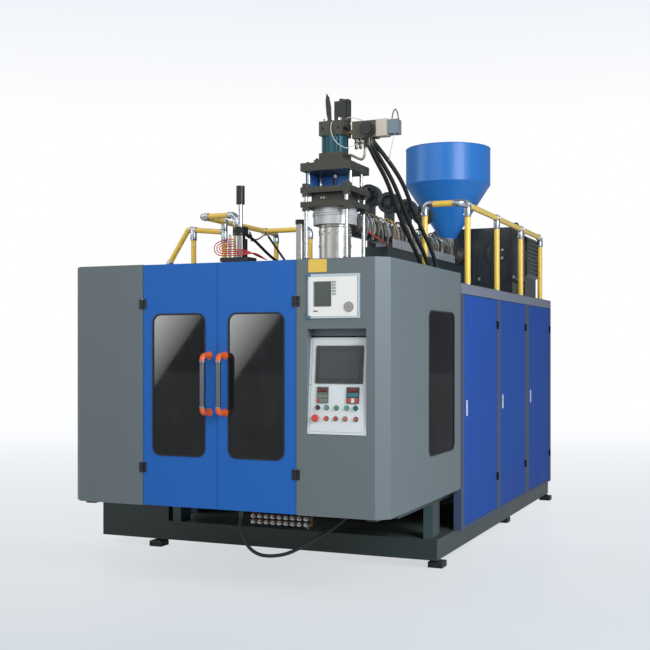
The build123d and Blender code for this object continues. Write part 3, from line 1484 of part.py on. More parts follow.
def make_hoses():
    """Each free hose in a node of its own, and the small air tubes together."""
    for number, route in enumerate(hydraulic_routes, 1):
        node = "hydraulic_hose_" + str(number)
        keep(node, tube_along(node, route, hose_radius))
    for number, route in enumerate(blow_routes, 1):
        node = "blow_hose_" + str(number)
        keep(node, tube_along(node, route, blow_hose_radius))
    keep("drain_cable", tube_along("drain_cable", drain_route, drain_radius))
    y = press_y - 46
    for turn in range(loop_count):
        half = loop_first + loop_pitch * turn
        left = -446 - 16 * turn
        front = y - 10 * turn
        route = ((-330, front, loop_middle + half), (left, front, loop_middle + half),
                 (left, front, loop_middle - half), (-330, front, loop_middle - half),
                 (-232, front + 8, loop_middle - half - 10 + 4 * turn),
                 (-152, front + 30, blow_base_top + 12 * turn), (-100, front + 70, 2280))
        keep("air_tubes", tube_along("loop " + str(turn), route, air_tube_radius))


def move_to_origin():
    """The shift that puts the origin at the bottom middle of the machine's box."""
    right = max(housing_half + hinge_offset + knuckle_radius,
                rail_side + rail_radius + fitting_wall)
    front = -handle_standoff - handle_radius
    return Vector((wing_reach - right) / 2, -(front + base_rear) / 2, 0)


make_base()
make_feet()
make_wing()
make_guard()
make_front_doors()
make_cabinet()
make_deck()
make_handrails()
make_controller()
make_operator_panel()
make_manifold()
make_bed()
make_carriage()
make_platen("front_mould_platen", -1)
make_platen("rear_mould_platen", 1)
make_head_frame()
make_die_head()
make_head_cylinder()
make_mandrel()
make_servo_valve()
make_blow_station()
make_blow_pin()
make_extruder()
make_bands()
make_blowers()
make_screw()
make_hopper()
make_gearbox()
make_motor()
make_motor_shaft()
make_cabinet_equipment()
make_hoses()

shift = move_to_origin()
print("shift", tuple(round(value, 2) for value in shift), "nodes", len(pieces))
for node, solids in pieces.items():
    moved = [solid.moved(Location(shift)) for solid in solids]
    export_step(Compound(children=moved), "parts/" + node + ".step")
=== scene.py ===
"""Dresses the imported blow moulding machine: paint, metal, glass, rails, hoses, wiring and a studio."""

import math
import random

import bmesh
import bpy
from bpy.props import FloatProperty, FloatVectorProperty, PointerProperty
from mathutils import Matrix, Vector


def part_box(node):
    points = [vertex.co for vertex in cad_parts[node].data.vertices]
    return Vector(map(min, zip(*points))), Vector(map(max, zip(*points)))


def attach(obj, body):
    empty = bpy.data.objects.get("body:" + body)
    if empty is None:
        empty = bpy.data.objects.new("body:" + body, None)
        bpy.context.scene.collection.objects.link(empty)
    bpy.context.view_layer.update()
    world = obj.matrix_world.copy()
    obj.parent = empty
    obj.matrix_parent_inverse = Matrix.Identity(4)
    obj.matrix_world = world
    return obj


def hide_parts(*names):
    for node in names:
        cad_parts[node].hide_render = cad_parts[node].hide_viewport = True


bl_info = {
    "name": "Blow Moulding Machine Dresser",
    "version": (1, 0, 0),
    "blender": (4, 5, 0),
    "location": "View3D > Sidebar > Machine",
    "description": "Builds the finishes, rails, hoses and wiring of a blow moulding machine",
    "category": "Object",
}

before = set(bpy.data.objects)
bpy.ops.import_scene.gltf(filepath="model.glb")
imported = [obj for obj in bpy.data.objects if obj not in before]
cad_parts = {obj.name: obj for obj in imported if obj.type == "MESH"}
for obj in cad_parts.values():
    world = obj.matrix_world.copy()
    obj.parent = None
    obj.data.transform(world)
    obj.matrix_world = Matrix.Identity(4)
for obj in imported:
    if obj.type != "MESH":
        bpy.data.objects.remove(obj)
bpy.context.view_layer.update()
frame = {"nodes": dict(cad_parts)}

# The CAD's own measures are kept in millimetres from the middle of the doors' face on the floor.
left_panel_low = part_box("guard_panel_left")[0]
right_panel_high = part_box("guard_panel_right")[1]
doors_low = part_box("left_front_door")[0]
ORIGIN = Vector(((left_panel_low.x + right_panel_high.x) / 2, doors_low.y, 0))
TO_ROW = Matrix.Translation(ORIGIN) @ Matrix.Scale(0.001, 4)
FAR = 9000
PANEL_TILT = math.atan2(60, 625)
PANEL_LOW = 1067


def spot(x, y, z):
    """A place in millimetres as a point of the row frame."""
    return TO_ROW @ Vector((x, y, z))


def tint(*screen):
    """Linear colour for screen values from 0 to 255."""
    shares = [value / 255 for value in screen]
    return tuple(s / 12.92 if s <= 0.04045 else ((s + 0.055) / 1.055) ** 2.4 for s in shares)


HINGE_BLACK = tint(24, 25, 27)


def colour_prop(label, description, screen):
    """A paint colour that the user can change."""
    return FloatVectorProperty(name=label, description=description, subtype="COLOR", size=3,
                               min=0, max=1, default=tint(*screen))


def length_prop(label, description, millimetres):
    """A length that the user can change."""
    return FloatProperty(name=label, description=description, subtype="DISTANCE", unit="LENGTH",
                         min=0.0001, default=millimetres / 1000)


class PaintColours(bpy.types.PropertyGroup):
    """Colours of the painted sheets and castings"""

    housing: colour_prop("Housing", "Paint of the guard housing", (104, 114, 116))
    doors: colour_prop("Doors", "Paint of the two front doors", (34, 101, 182))
    cabinet: colour_prop("Cabinet", "Paint of the cabinet's doors and panels", (38, 84, 166))
    frame: colour_prop("Cabinet frame", "Paint of the cabinet's posts and rails", (72, 86, 112))
    hopper: colour_prop("Hopper", "Paint of the hopper", (40, 122, 204))
    rails: colour_prop("Handrails", "Paint of the handrail tubes", (255, 212, 90))
    base: colour_prop("Base", "Paint of the base frame", (42, 56, 52))
    bed: colour_prop("Clamp bed", "Paint of the clamp's bed and posts", (58, 80, 80))
    plates: colour_prop("Tower plates", "Finish of the die head's plates", (70, 70, 62))
    cylinder: colour_prop("Cylinder", "Paint of the cylinder on the tower", (24, 84, 96))
    cast: colour_prop("Drive castings", "Paint of the gearbox, motor and blowers", (44, 51, 55))
    handles: colour_prop("Handle ends", "Plastic of the door handles' ends", (226, 98, 44))


class FittingSizes(bpy.types.PropertyGroup):
    """Sizes of the small parts that stand on the machine"""

    gasket: length_prop("Gasket width", "Width of the rubber round a window", 11)
    rail: length_prop("Rail radius", "Radius of the handrail tubes", 24)
    wire: length_prop("Wire radius", "Radius of the small wires along the barrel", 4)
    conduit: length_prop("Conduit radius", "Radius of the silver conduits along the barrel", 8)


class StudioSettings(bpy.types.PropertyGroup):
    """Light and camera of the studio"""

    key: FloatProperty(name="Key light", description="Power of the large lamp at the right",
                       subtype="POWER", unit="POWER", min=0, default=550)
    front: FloatProperty(name="Front light", description="Power of the lamp before the doors",
                         subtype="POWER", unit="POWER", min=0, default=80)
    ambient: FloatProperty(name="Ambient", description="Strength of the even light of the room",
                           subtype="FACTOR", min=0, max=2, default=0.27)
    lens: FloatProperty(name="Focal length", description="Focal length of the camera in mm",
                        min=10, default=59.52)


# Shader node helpers


def add(tree, kind, **settings):
    """A shader node with some of its settings."""
    node = tree.nodes.new("ShaderNode" + kind)
    for key, value in settings.items():
        setattr(node, key, value)
    return node


def feed(tree, socket, value):
    """Link a socket to another, or give it a plain value."""
    if isinstance(value, bpy.types.NodeSocket):
        tree.links.new(value, socket)
    elif value is not None:
        if socket.type == "RGBA" and len(value) == 3:
            value = (*value, 1)
        socket.default_value = value


def sums(tree, operation, *values, clamp=False):
    """A Math node's result."""
    node = add(tree, "Math", operation=operation, use_clamp=clamp)
    for socket, value in zip(node.inputs, values):
        feed(tree, socket, value)
    return node.outputs[0]


def mix(tree, factor, first, second, kind="RGBA"):
    """A Mix node's result for colours or numbers."""
    node = add(tree, "Mix", data_type=kind)
    start = 6 if kind == "RGBA" else 2
    feed(tree, node.inputs[0], factor)
    feed(tree, node.inputs[start], first)
    feed(tree, node.inputs[start + 1], second)
    return node.outputs[2 if kind == "RGBA" else 0]


def noise(tree, vector, scale, detail=3, roughness=0.5):
    """A noise texture's value."""
    node = add(tree, "TexNoise")
    feed(tree, node.inputs["Vector"], vector)
    feed(tree, node.inputs["Scale"], scale)
    feed(tree, node.inputs["Detail"], detail)
    feed(tree, node.inputs["Roughness"], roughness)
    return node.outputs["Fac"]


def ramp(tree, value, low, high, out_low=0.0, out_high=1.0):
    """A number carried from one range to another, clamped."""
    node = add(tree, "MapRange")
    for label, number in (("Value", value), ("From Min", low), ("From Max", high),
                          ("To Min", out_low), ("To Max", out_high)):
        feed(tree, node.inputs[label], number)
    return node.outputs[0]


def stretched(tree, vector, scale, turn=(0, 0, 0)):
    """A vector that a Mapping node scales and turns."""
    node = add(tree, "Mapping")
    feed(tree, node.inputs["Vector"], vector)
    node.inputs["Scale"].default_value = scale
    node.inputs["Rotation"].default_value = turn
    return node.outputs[0]


def use(tree, group, **values):
    """A placed node group with its own values."""
    node = tree.nodes.new("ShaderNodeGroup")
    node.node_tree = group
    for label, value in values.items():
        feed(tree, node.inputs[label.replace("_", " ")], value)
    return node


def new_group(name, inputs, outputs):
    """An empty node group with named sockets."""
    group = bpy.data.node_groups.new(name, "ShaderNodeTree")
    for label, kind, default in inputs:
        socket = group.interface.new_socket(label, in_out="INPUT", socket_type="NodeSocket" + kind)
        if default is not None:
            socket.default_value = default
    for label, kind in outputs:
        group.interface.new_socket(label, in_out="OUTPUT", socket_type="NodeSocket" + kind)
    start = group.nodes.new("NodeGroupInput").outputs
    end = group.nodes.new("NodeGroupOutput").inputs
    return group, start, end


def region_group():
    """Mask of the part of a surface that lies between two corners."""
    group, start, end = new_group(
        "Region", (("Vector", "Vector", None), ("Low", "Vector", None), ("High", "Vector", None)),
        (("Mask", "Float"),))
    over = add(group, "VectorMath", operation="SUBTRACT")
    feed(group, over.inputs[0], start["Vector"])
    feed(group, over.inputs[1], start["Low"])
    under = add(group, "VectorMath", operation="SUBTRACT")
    feed(group, under.inputs[0], start["High"])
    feed(group, under.inputs[1], start["Vector"])
    least = add(group, "VectorMath", operation="MINIMUM")
    feed(group, least.inputs[0], over.outputs[0])
    feed(group, least.inputs[1], under.outputs[0])
    parts = add(group, "SeparateXYZ")
    feed(group, parts.inputs[0], least.outputs[0])
    flat = sums(group, "MINIMUM", parts.outputs[0], parts.outputs[1])
    inside = sums(group, "MINIMUM", flat, parts.outputs[2])
    feed(group, end["Mask"], sums(group, "GREATER_THAN", inside, 0.0))
    return group


def ageing_group():
    """Mottling, settled dust and rubbed edges over a colour and its roughness."""
    group, start, end = new_group(
        "Ageing", (("Vector", "Vector", None), ("Colour", "Color", None),
                   ("Roughness", "Float", 0.4), ("Mottle", "Float", 0.06),
                   ("Dust", "Float", 0.1), ("Wear", "Float", 0.2)),
        (("Colour", "Color"), ("Roughness", "Float")))
    broad = noise(group, start["Vector"], 1.9, 5, 0.6)
    runs = noise(group, stretched(group, start["Vector"], (14, 14, 0.9)), 1.0, 4, 0.6)
    spread = sums(group, "MULTIPLY_ADD", sums(group, "ADD", broad, runs), 1.0, -1.0)
    value = sums(group, "MULTIPLY_ADD", spread, start["Mottle"], 1.0)
    shade = add(group, "HueSaturation")
    feed(group, shade.inputs["Value"], value)
    feed(group, shade.inputs["Color"], start["Colour"])
    geometry = add(group, "NewGeometry")
    parts = add(group, "SeparateXYZ")
    feed(group, parts.inputs[0], geometry.outputs["Normal"])
    level = ramp(group, parts.outputs[2], 0.55, 1.0)
    settled = sums(group, "MULTIPLY", level, noise(group, start["Vector"], 8.0, 6, 0.7))
    settled = sums(group, "MULTIPLY", settled, start["Dust"], clamp=True)
    dusty = mix(group, settled, shade.outputs[0], (0.36, 0.34, 0.31))
    soft = add(group, "Bevel", samples=2)
    soft.inputs["Radius"].default_value = 0.004
    turned = add(group, "VectorMath", operation="DOT_PRODUCT")
    feed(group, turned.inputs[0], soft.outputs[0])
    feed(group, turned.inputs[1], geometry.outputs["Normal"])
    edge = ramp(group, turned.outputs["Value"], 0.97, 0.75)
    chips = ramp(group, noise(group, start["Vector"], 60.0, 4, 0.7), 0.45, 0.62)
    rubbed = sums(group, "MULTIPLY", sums(group, "MULTIPLY", edge, chips), start["Wear"], clamp=True)
    pale = mix(group, 0.55, start["Colour"], (0.55, 0.56, 0.57))
    feed(group, end["Colour"], mix(group, rubbed, dusty, pale))
    rough = sums(group, "MULTIPLY_ADD", spread, 0.12, start["Roughness"])
    rough = sums(group, "MULTIPLY_ADD", settled, 0.4, rough, clamp=True)
    feed(group, end["Roughness"], rough)
    return group


def grain_group():
    """Height of a sprayed paint's orange peel with fine grain on it."""
    group, start, end = new_group(
        "Paint grain", (("Vector", "Vector", None), ("Peel", "Float", 90.0), ("Fine", "Float", 900.0)),
        (("Height", "Float"),))
    peel = noise(group, start["Vector"], start["Peel"], 2, 0.4)
    fine = noise(group, start["Vector"], start["Fine"], 2, 0.6)
    feed(group, end["Height"], sums(group, "MULTIPLY_ADD", fine, 0.35, peel))
    return group


def brushed_group():
    """Fine tool lines: a height and a shade that follow one direction."""
    group, start, end = new_group(
        "Tool lines", (("Vector", "Vector", None), ("Colour", "Color", None),
                       ("Roughness", "Float", 0.3), ("Contrast", "Float", 0.2)),
        (("Colour", "Color"), ("Roughness", "Float"), ("Height", "Float")))
    lines = noise(group, start["Vector"], 1.0, 6, 0.65)
    offset = sums(group, "SUBTRACT", lines, 0.5)
    shade = add(group, "HueSaturation")
    feed(group, shade.inputs["Color"], start["Colour"])
    feed(group, shade.inputs["Value"], sums(group, "MULTIPLY_ADD", offset, start["Contrast"], 1.0))
    feed(group, end["Colour"], shade.outputs[0])
    feed(group, end["Roughness"], sums(group, "MULTIPLY_ADD", offset, 0.35, start["Roughness"],
                                       clamp=True))
    feed(group, end["Height"], lines)
    return group


def tread_group():
    """Height of a raised tread pattern of short crossing bars."""
    group, start, end = new_group("Tread", (("Vector", "Vector", None), ("Pitch", "Float", 0.04)),
                                  (("Height", "Float"),))
    parts = add(group, "SeparateXYZ")
    feed(group, parts.inputs[0], start["Vector"])
    along = sums(group, "ADD", parts.outputs[0], parts.outputs[1])
    across = sums(group, "SUBTRACT", parts.outputs[0], parts.outputs[1])
    heights = []
    for one, two in ((along, across), (across, along)):
        first = sums(group, "SINE", sums(group, "DIVIDE", one, sums(group, "MULTIPLY",
                                                                   start["Pitch"], 0.1592)))
        second = sums(group, "SINE", sums(group, "DIVIDE", two, sums(group, "MULTIPLY",
                                                                    start["Pitch"], 0.3183)))
        both = sums(group, "MULTIPLY", ramp(group, first, 0.55, 0.85), ramp(group, second, -0.2, 0.2))
        heights.append(both)
    feed(group, end["Height"], sums(group, "MAXIMUM", *heights))
    return group


groups = {}


def group(name):
    """A node group by name, built the first time that it is asked for."""
    makers = {"region": region_group, "ageing": ageing_group, "grain": grain_group,
              "brushed": brushed_group, "tread": tread_group}
    if name not in groups:
        groups[name] = makers[name]()
    return groups[name]


def surface(name, colour, roughness=0.4, metallic=0.0, regions=(), mottle=0.05, dust=0.08,
            wear=0.15, peel=0.0006, lines=None, coat=0.0, turn=0.0, tread=False, shine=0.5):
    """A material whose colour, gloss and metal follow the regions of a part.

    Each region is a low corner, a high corner, a colour, a roughness and a metallic value.
    """
    material = bpy.data.materials.new(name)
    material.use_nodes = True
    tree = material.node_tree
    shader = tree.nodes["Principled BSDF"]
    place = add(tree, "TexCoord").outputs["Object"]
    masked = stretched(tree, place, (1, 1, 1), (turn, 0, 0)) if turn else place
    paint, rough, metal = colour, roughness, metallic
    metal_varies = any(one[4] != metallic for one in regions)
    for low, high, other, other_roughness, other_metallic in regions:
        mask = use(tree, group("region"), Vector=masked).outputs["Mask"]
        node = mask.node
        node.inputs["Low"].default_value = low
        node.inputs["High"].default_value = high
        paint = mix(tree, mask, paint, other)
        rough = mix(tree, mask, rough, other_roughness, "FLOAT")
        if metal_varies:
            metal = mix(tree, mask, metal, other_metallic, "FLOAT")
    if lines:
        tooled = use(tree, group("brushed"), Vector=stretched(tree, place, lines), Colour=paint,
                     Roughness=rough, Contrast=0.25)
        paint, rough, height = (tooled.outputs[label] for label in ("Colour", "Roughness", "Height"))
        depth = 0.0002
    elif tread:
        height = use(tree, group("tread"), Vector=place, Pitch=0.045).outputs["Height"]
        depth = 0.0015
    else:
        height = use(tree, group("grain"), Vector=place).outputs["Height"]
        depth = peel
    aged = use(tree, group("ageing"), Vector=place, Colour=paint, Roughness=rough, Mottle=mottle,
               Dust=dust, Wear=wear)
    feed(tree, shader.inputs["Base Color"], aged.outputs["Colour"])
    feed(tree, shader.inputs["Roughness"], aged.outputs["Roughness"])
    feed(tree, shader.inputs["Metallic"], metal)
    shader.inputs["Specular IOR Level"].default_value = shine
    shader.inputs["Coat Weight"].default_value = coat
    shader.inputs["Coat Roughness"].default_value = 0.08
    bump = add(tree, "Bump")
    bump.inputs["Strength"].default_value = 0.5
    bump.inputs["Distance"].default_value = depth
    feed(tree, bump.inputs["Height"], height)
    feed(tree, shader.inputs["Normal"], bump.outputs[0])
    return material


def region(x0, x1, y0, y1, z0, z1, colour, roughness, metallic=0.0):
    """A region of a part between two corners in millimetres."""
    return spot(x0, y0, z0), spot(x1, y1, z1), colour, roughness, metallic


def layer(z0, z1, colour, roughness, metallic=0.0):
    """A region between two heights, right across a part."""
    return region(-FAR, FAR, -FAR, FAR, z0, z1, colour, roughness, metallic)


def wear_on(node, material):
    """Give a CAD node its finish."""
    for place in frame["nodes"][node].material_slots:
        place.material = material


finishes = {}


def stock(name):
    """Finishes that several parts share, each made once."""
    if name in finishes:
        return finishes[name]
    recipes = {
        "machined steel": dict(colour=tint(176, 177, 178), roughness=0.34, metallic=1.0,
                               lines=(6, 6, 420), dust=0.08, wear=0.1),
        "zinc": dict(colour=tint(198, 204, 210), roughness=0.3, metallic=1.0, mottle=0.12,
                     dust=0.05, wear=0),
        "aluminium": dict(colour=tint(196, 198, 200), roughness=0.38, metallic=1.0,
                          lines=(5, 260, 260), dust=0.05, wear=0.05),
        "rubber": dict(colour=tint(24, 25, 26), roughness=0.55, mottle=0.15, dust=0.12, wear=0,
                       peel=0.0004),
        "black satin": dict(colour=tint(26, 27, 29), roughness=0.38, mottle=0.1, dust=0.1, wear=0.2),
        "bolt": dict(colour=tint(190, 192, 194), roughness=0.28, metallic=1.0, mottle=0.1,
                     dust=0.04, wear=0),
        "dark bolt": dict(colour=tint(48, 48, 44), roughness=0.42, metallic=0.6, mottle=0.1,
                          dust=0.08, wear=0.3),
        "braid": dict(colour=tint(140, 140, 136), roughness=0.45, metallic=0.8,
                      lines=(240, 240, 240), dust=0.1, wear=0),
        "pale wire": dict(colour=tint(214, 210, 196), roughness=0.5, mottle=0.12, dust=0.1, wear=0),
        "amber wire": dict(colour=tint(196, 162, 96), roughness=0.5, mottle=0.12, dust=0.1, wear=0),
        "red tube": dict(colour=tint(214, 66, 66), roughness=0.28, mottle=0.08, dust=0.03, wear=0,
                         coat=0.4),
        "white plastic": dict(colour=tint(226, 228, 226), roughness=0.4, mottle=0.05, dust=0.05,
                              wear=0),
    }
    finishes[name] = surface(name.replace(" ", "_"), **recipes[name])
    return finishes[name]


# Mesh helpers, all in millimetres


def edges_of(vertices):
    """Every edge that meets some vertices."""
    return list({edge for vertex in vertices for edge in vertex.link_edges})


def ease(bm, edges, width, steps=2):
    """Round some edges."""
    bmesh.ops.bevel(bm, geom=edges, offset=width, offset_type="OFFSET", affect="EDGES",
                    segments=steps, profile=0.5, material=-1, clamp_overlap=True)


def paint_faces(vertices, index):
    """Give a material number to every face that meets some vertices."""
    for vertex in vertices:
        for face in vertex.link_faces:
            face.material_index = index


def add_box(bm, low, high, edge=1.5, index=0, place=None):
    """A box between two corners, with eased edges."""
    low, high = Vector(low), Vector(high)
    matrix = Matrix.Translation((low + high) / 2) @ Matrix.Diagonal((*(high - low), 1))
    made = bmesh.ops.create_cube(bm, size=1, matrix=place @ matrix if place else matrix)["verts"]
    paint_faces(made, index)
    ease(bm, edges_of(made), edge)


def add_rod(bm, start, end, radius, sides=24, edge=1.0):
    """A round or hexagonal bar between two points, with eased rims."""
    start, end = Vector(start), Vector(end)
    run = end - start
    matrix = Matrix.Translation((start + end) / 2) @ run.to_track_quat("Z", "Y").to_matrix().to_4x4()
    made = bmesh.ops.create_cone(bm, cap_ends=True, segments=sides, radius1=radius,
                                 radius2=radius, depth=run.length, matrix=matrix)["verts"]
    rims = [e for e in edges_of(made) if any(len(f.verts) == sides for f in e.link_faces)]
    if edge:
        ease(bm, rims, edge)


def add_ball(bm, centre, radius):
    """A ball."""
    bmesh.ops.create_uvsphere(bm, u_segments=20, v_segments=10, radius=radius,
                              matrix=Matrix.Translation(centre))


def add_turned(bm, centre, axis, outline, sides=40, closed=True):
    """A turned part: an outline of radius and height pairs, spun about an axis."""
    axis = Vector(axis)
    centre = Vector(centre)
    turn = Matrix.Translation(centre) @ axis.to_track_quat("Z", "Y").to_matrix().to_4x4()
    line = [bm.verts.new(turn @ Vector((radius, 0, height))) for radius, height in outline]
    runs = list(zip(line, line[1:] + line[:1] if closed else line[1:]))
    spun = [bm.edges.new(pair) for pair in runs]
    known = set(bm.verts) - set(line)
    bmesh.ops.spin(bm, geom=line + spun, cent=centre, axis=axis, angle=math.tau, steps=sides,
                   use_merge=True, use_duplicate=False)
    made = [vertex for vertex in bm.verts if vertex not in known]
    bmesh.ops.remove_doubles(bm, verts=made, dist=0.01)


def add_ring(bm, centre, axis, radius, thickness, sides=40, rounds=8):
    """A ring of round wire."""
    outline = []
    for step in range(rounds):
        angle = math.tau * step / rounds
        outline.append((radius + thickness * math.cos(angle), thickness * math.sin(angle)))
    add_turned(bm, centre, axis, outline, sides)


def add_bend(bm, corner, first_way, last_way, bend, radius, sides=28):
    """The rounded corner of a tube between two directions."""
    corner, first, last = Vector(corner), Vector(first_way), Vector(last_way)
    half = (math.pi - first.angle(last)) / 2
    start = corner + first * bend * math.tan(half)
    end = corner + last * bend * math.tan(half)
    centre = corner + (first + last).normalized() * bend / math.cos(half)
    known = set(bm.verts)
    matrix = Matrix.Translation(start) @ first.to_track_quat("Z", "Y").to_matrix().to_4x4()
    rim = bmesh.ops.create_circle(bm, segments=sides, radius=radius, matrix=matrix)["verts"]
    bmesh.ops.spin(bm, geom=rim + edges_of(rim), cent=centre, angle=2 * half, steps=8,
                   axis=(start - centre).cross(end - centre).normalized(), use_merge=False)
    made = [vertex for vertex in bm.verts if vertex not in known]
    bmesh.ops.holes_fill(bm, edges=[e for e in edges_of(made) if e.is_boundary], sides=0)


def add_plate(bm, place, width, height, corner, thickness, ring=0):
    """A plate with rounded corners that faces its place's -Y, or a flat ring of some width."""
    known = set(bm.faces)
    quad = [bm.verts.new(place @ Vector((sx * width / 2, 0, sz * height / 2)))
            for sx, sz in ((-1, -1), (1, -1), (1, 1), (-1, 1))]
    bm.faces.new(quad)
    bmesh.ops.bevel(bm, geom=quad, offset=corner, offset_type="OFFSET", affect="VERTICES",
                    segments=8, profile=0.5, material=-1, clamp_overlap=True)
    face = [one for one in bm.faces if one not in known][0]
    if ring:
        bmesh.ops.inset_individual(bm, faces=[face], thickness=ring, use_even_offset=True)
        bmesh.ops.delete(bm, geom=[face], context="FACES_ONLY")
    flat = [one for one in bm.faces if one not in known]
    pushed = bmesh.ops.extrude_face_region(bm, geom=flat, use_keep_orig=True)["geom"]
    moved = [one for one in pushed if isinstance(one, bmesh.types.BMVert)]
    away = (place.to_3x3() @ Vector((0, -1, 0))).normalized() * thickness
    bmesh.ops.translate(bm, verts=moved, vec=away)


def keep_piece(name, bm, materials, body, stands_for=()):
    """Turn a mesh in millimetres into a finished piece in the row frame."""
    bmesh.ops.recalc_face_normals(bm, faces=bm.faces)
    bmesh.ops.transform(bm, matrix=TO_ROW, verts=bm.verts)
    mesh = bpy.data.meshes.new(name)
    bm.to_mesh(mesh)
    bm.free()
    mesh.shade_smooth()
    mesh.set_sharp_from_angle(angle=math.radians(32))
    for material in materials:
        mesh.materials.append(material)
    piece = bpy.data.objects.new(name, mesh)
    bpy.context.scene.collection.objects.link(piece)
    return settle(piece, body, stands_for)


def settle(piece, body, stands_for=()):
    """Tie a piece to its body and hide the nodes that it stands for."""
    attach(piece, body)
    if stands_for:
        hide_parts(*stands_for)
    return piece


def new_lines(name, lines, radius, material, rounds, steps):
    """Smooth round lines through points of the row frame."""
    data = bpy.data.curves.new(name, "CURVE")
    data.dimensions = "3D"
    data.bevel_depth = radius
    data.bevel_resolution = rounds
    data.resolution_u = steps
    data.use_fill_caps = True
    for line in lines:
        spline = data.splines.new("NURBS")
        spline.points.add(len(line) - 1)
        for point, place in zip(spline.points, line):
            point.co = (*place, 1)
        spline.use_endpoint_u = True
        spline.order_u = 3
    data.materials.append(material)
    piece = bpy.data.objects.new(name, data)
    bpy.context.scene.collection.objects.link(piece)
    return piece


def keep_lines(name, lines, radius, material, body, stands_for=()):
    """Round wires along lines of points in millimetres, as a finished piece."""
    places = [[spot(*place) for place in line] for line in lines]
    piece = new_lines(name, places, radius, material, rounds=3, steps=8)
    return settle(piece, body, stands_for)


# Each free hose: radius, length and route, in metres from the middle of the doors' face on the floor

HOSES = {
    "hydraulic_hose_1": (0.016, 1.309, (
        (0.751, 0.950, 3.093), (0.788, 1.040, 3.024), (0.836, 1.140, 2.928),
        (0.868, 1.240, 2.835), (0.881, 1.345, 2.731), (0.892, 1.440, 2.634),
        (0.912, 1.535, 2.541), (0.938, 1.625, 2.434), (0.962, 1.705, 2.330),
        (0.972, 1.745, 2.235), (0.972, 1.745, 2.128))),
    "hydraulic_hose_2": (0.016, 1.289, (
        (0.745, 0.925, 3.069), (0.766, 1.010, 2.998), (0.795, 1.105, 2.909),
        (0.814, 1.200, 2.825), (0.825, 1.300, 2.730), (0.834, 1.405, 2.632),
        (0.848, 1.500, 2.535), (0.872, 1.590, 2.438), (0.900, 1.680, 2.330),
        (0.918, 1.745, 2.215), (0.918, 1.745, 2.128))),
    "hydraulic_hose_3": (0.016, 1.286, (
        (0.736, 0.892, 3.054), (0.754, 0.985, 2.966), (0.778, 1.086, 2.878),
        (0.789, 1.180, 2.790), (0.791, 1.280, 2.694), (0.799, 1.375, 2.600),
        (0.814, 1.470, 2.508), (0.834, 1.560, 2.412), (0.858, 1.655, 2.310),
        (0.872, 1.745, 2.195), (0.872, 1.745, 2.128))),
    "blow_hose_1": (0.011, 0.904, (
        (-0.256, 0.955, 2.459), (-0.244, 1.014, 2.436), (-0.236, 1.080, 2.404),
        (-0.230, 1.170, 2.365), (-0.229, 1.280, 2.328), (-0.229, 1.400, 2.298),
        (-0.229, 1.530, 2.274), (-0.229, 1.624, 2.259), (-0.228, 1.692, 2.240),
        (-0.227, 1.726, 2.212), (-0.227, 1.745, 2.172), (-0.227, 1.745, 2.128))),
    "blow_hose_2": (0.011, 0.657, (
        (-1.118, 3.035, 2.697), (-1.090, 3.035, 2.659), (-1.022, 3.035, 2.567),
        (-0.955, 3.035, 2.477), (-0.902, 3.034, 2.398), (-0.855, 3.032, 2.318),
        (-0.820, 3.030, 2.220), (-0.820, 3.030, 2.128))),
    "drain_cable": (0.012, 1.064, (
        (0.088, 0.150, 0.479), (0.078, 0.150, 0.420), (0.104, 0.150, 0.345),
        (0.148, 0.150, 0.272), (0.221, 0.152, 0.231), (0.307, 0.158, 0.226),
        (0.420, 0.170, 0.246), (0.525, 0.200, 0.300), (0.612, 0.236, 0.358),
        (0.687, 0.288, 0.408), (0.740, 0.378, 0.462), (0.775, 0.458, 0.505))),
}


# The photograph's viewpoint, and the direction in which it looks over the floor
CAMERA_PLACE = (3.7374, -8.8685, 1.6117)
CAMERA_TURN = math.radians(23.084)
CAMERA_SHIFT = 0.0367
LOOK_X, LOOK_Y = -0.392, 0.92

# The two lamps that the front windows mirror: their upper left corners, size, power and cut edge
SHEEN_CORNERS = ((-3.42, -8.87, 2.056), (-2.257, -8.87, 2.056))
SHEEN_SIZE = (1.3, 0.68)
SHEEN_POWER = 27
SHEEN_EDGE = -0.8

WHITE_LIGHT = (1.0, 1.0, 1.0)


class MOULDER_OT_studio(bpy.types.Operator):
    """Set the camera, the pale floor, the lamps and the plain background"""

    bl_idname = "moulder.studio"
    bl_label = "Studio"

    def execute(self, context):
        settings = context.scene.moulder_studio
        data = bpy.data.cameras.new("studio_camera")
        data.sensor_width = 36
        data.lens = settings.lens
        data.shift_y = CAMERA_SHIFT
        camera = bpy.data.objects.new("studio_camera", data)
        camera.location = CAMERA_PLACE
        camera.rotation_euler = (math.radians(90), 0, CAMERA_TURN)
        context.scene.collection.objects.link(camera)
        context.scene.camera = camera
        context.scene.view_settings.view_transform = "Standard"
        studio_floor()
        studio_world(context.scene, settings.ambient)
        studio_lamp("key", (7.5, -5.2, 4.6), (0.4, -0.6, 1.3), (4.5, 4.0), settings.key,
                    (0.88, 0.96, 1.06))
        studio_lamp("front", (-1.5, -9.5, 5.5), (0.2, -2.4, 1.2), (6.0, 2.5), settings.front,
                    (1.0, 0.99, 0.96))
        studio_lamp("top", (-3.2, -2.6, 7.0), (0.4, 0.8, 2.8), (5.0, 5.0), 80, WHITE_LIGHT)
        studio_lamp("left", (-6.5, -3.0, 4.6), (0.7, 1.2, 3.3), (3.0, 3.0), 70, WHITE_LIGHT)
        for x, y, power in ((-1.8, -9.4, 16), (1.2, -9.8, 9), (5.6, -7.6, 8)):
            studio_lamp("strip", (x, y, 4.2), (0.7, 1.2, 3.2), (0.22, 3.6), power, WHITE_LIGHT)
        for corner in SHEEN_CORNERS:
            window_sheen(Vector(corner))
        return {"FINISHED"}


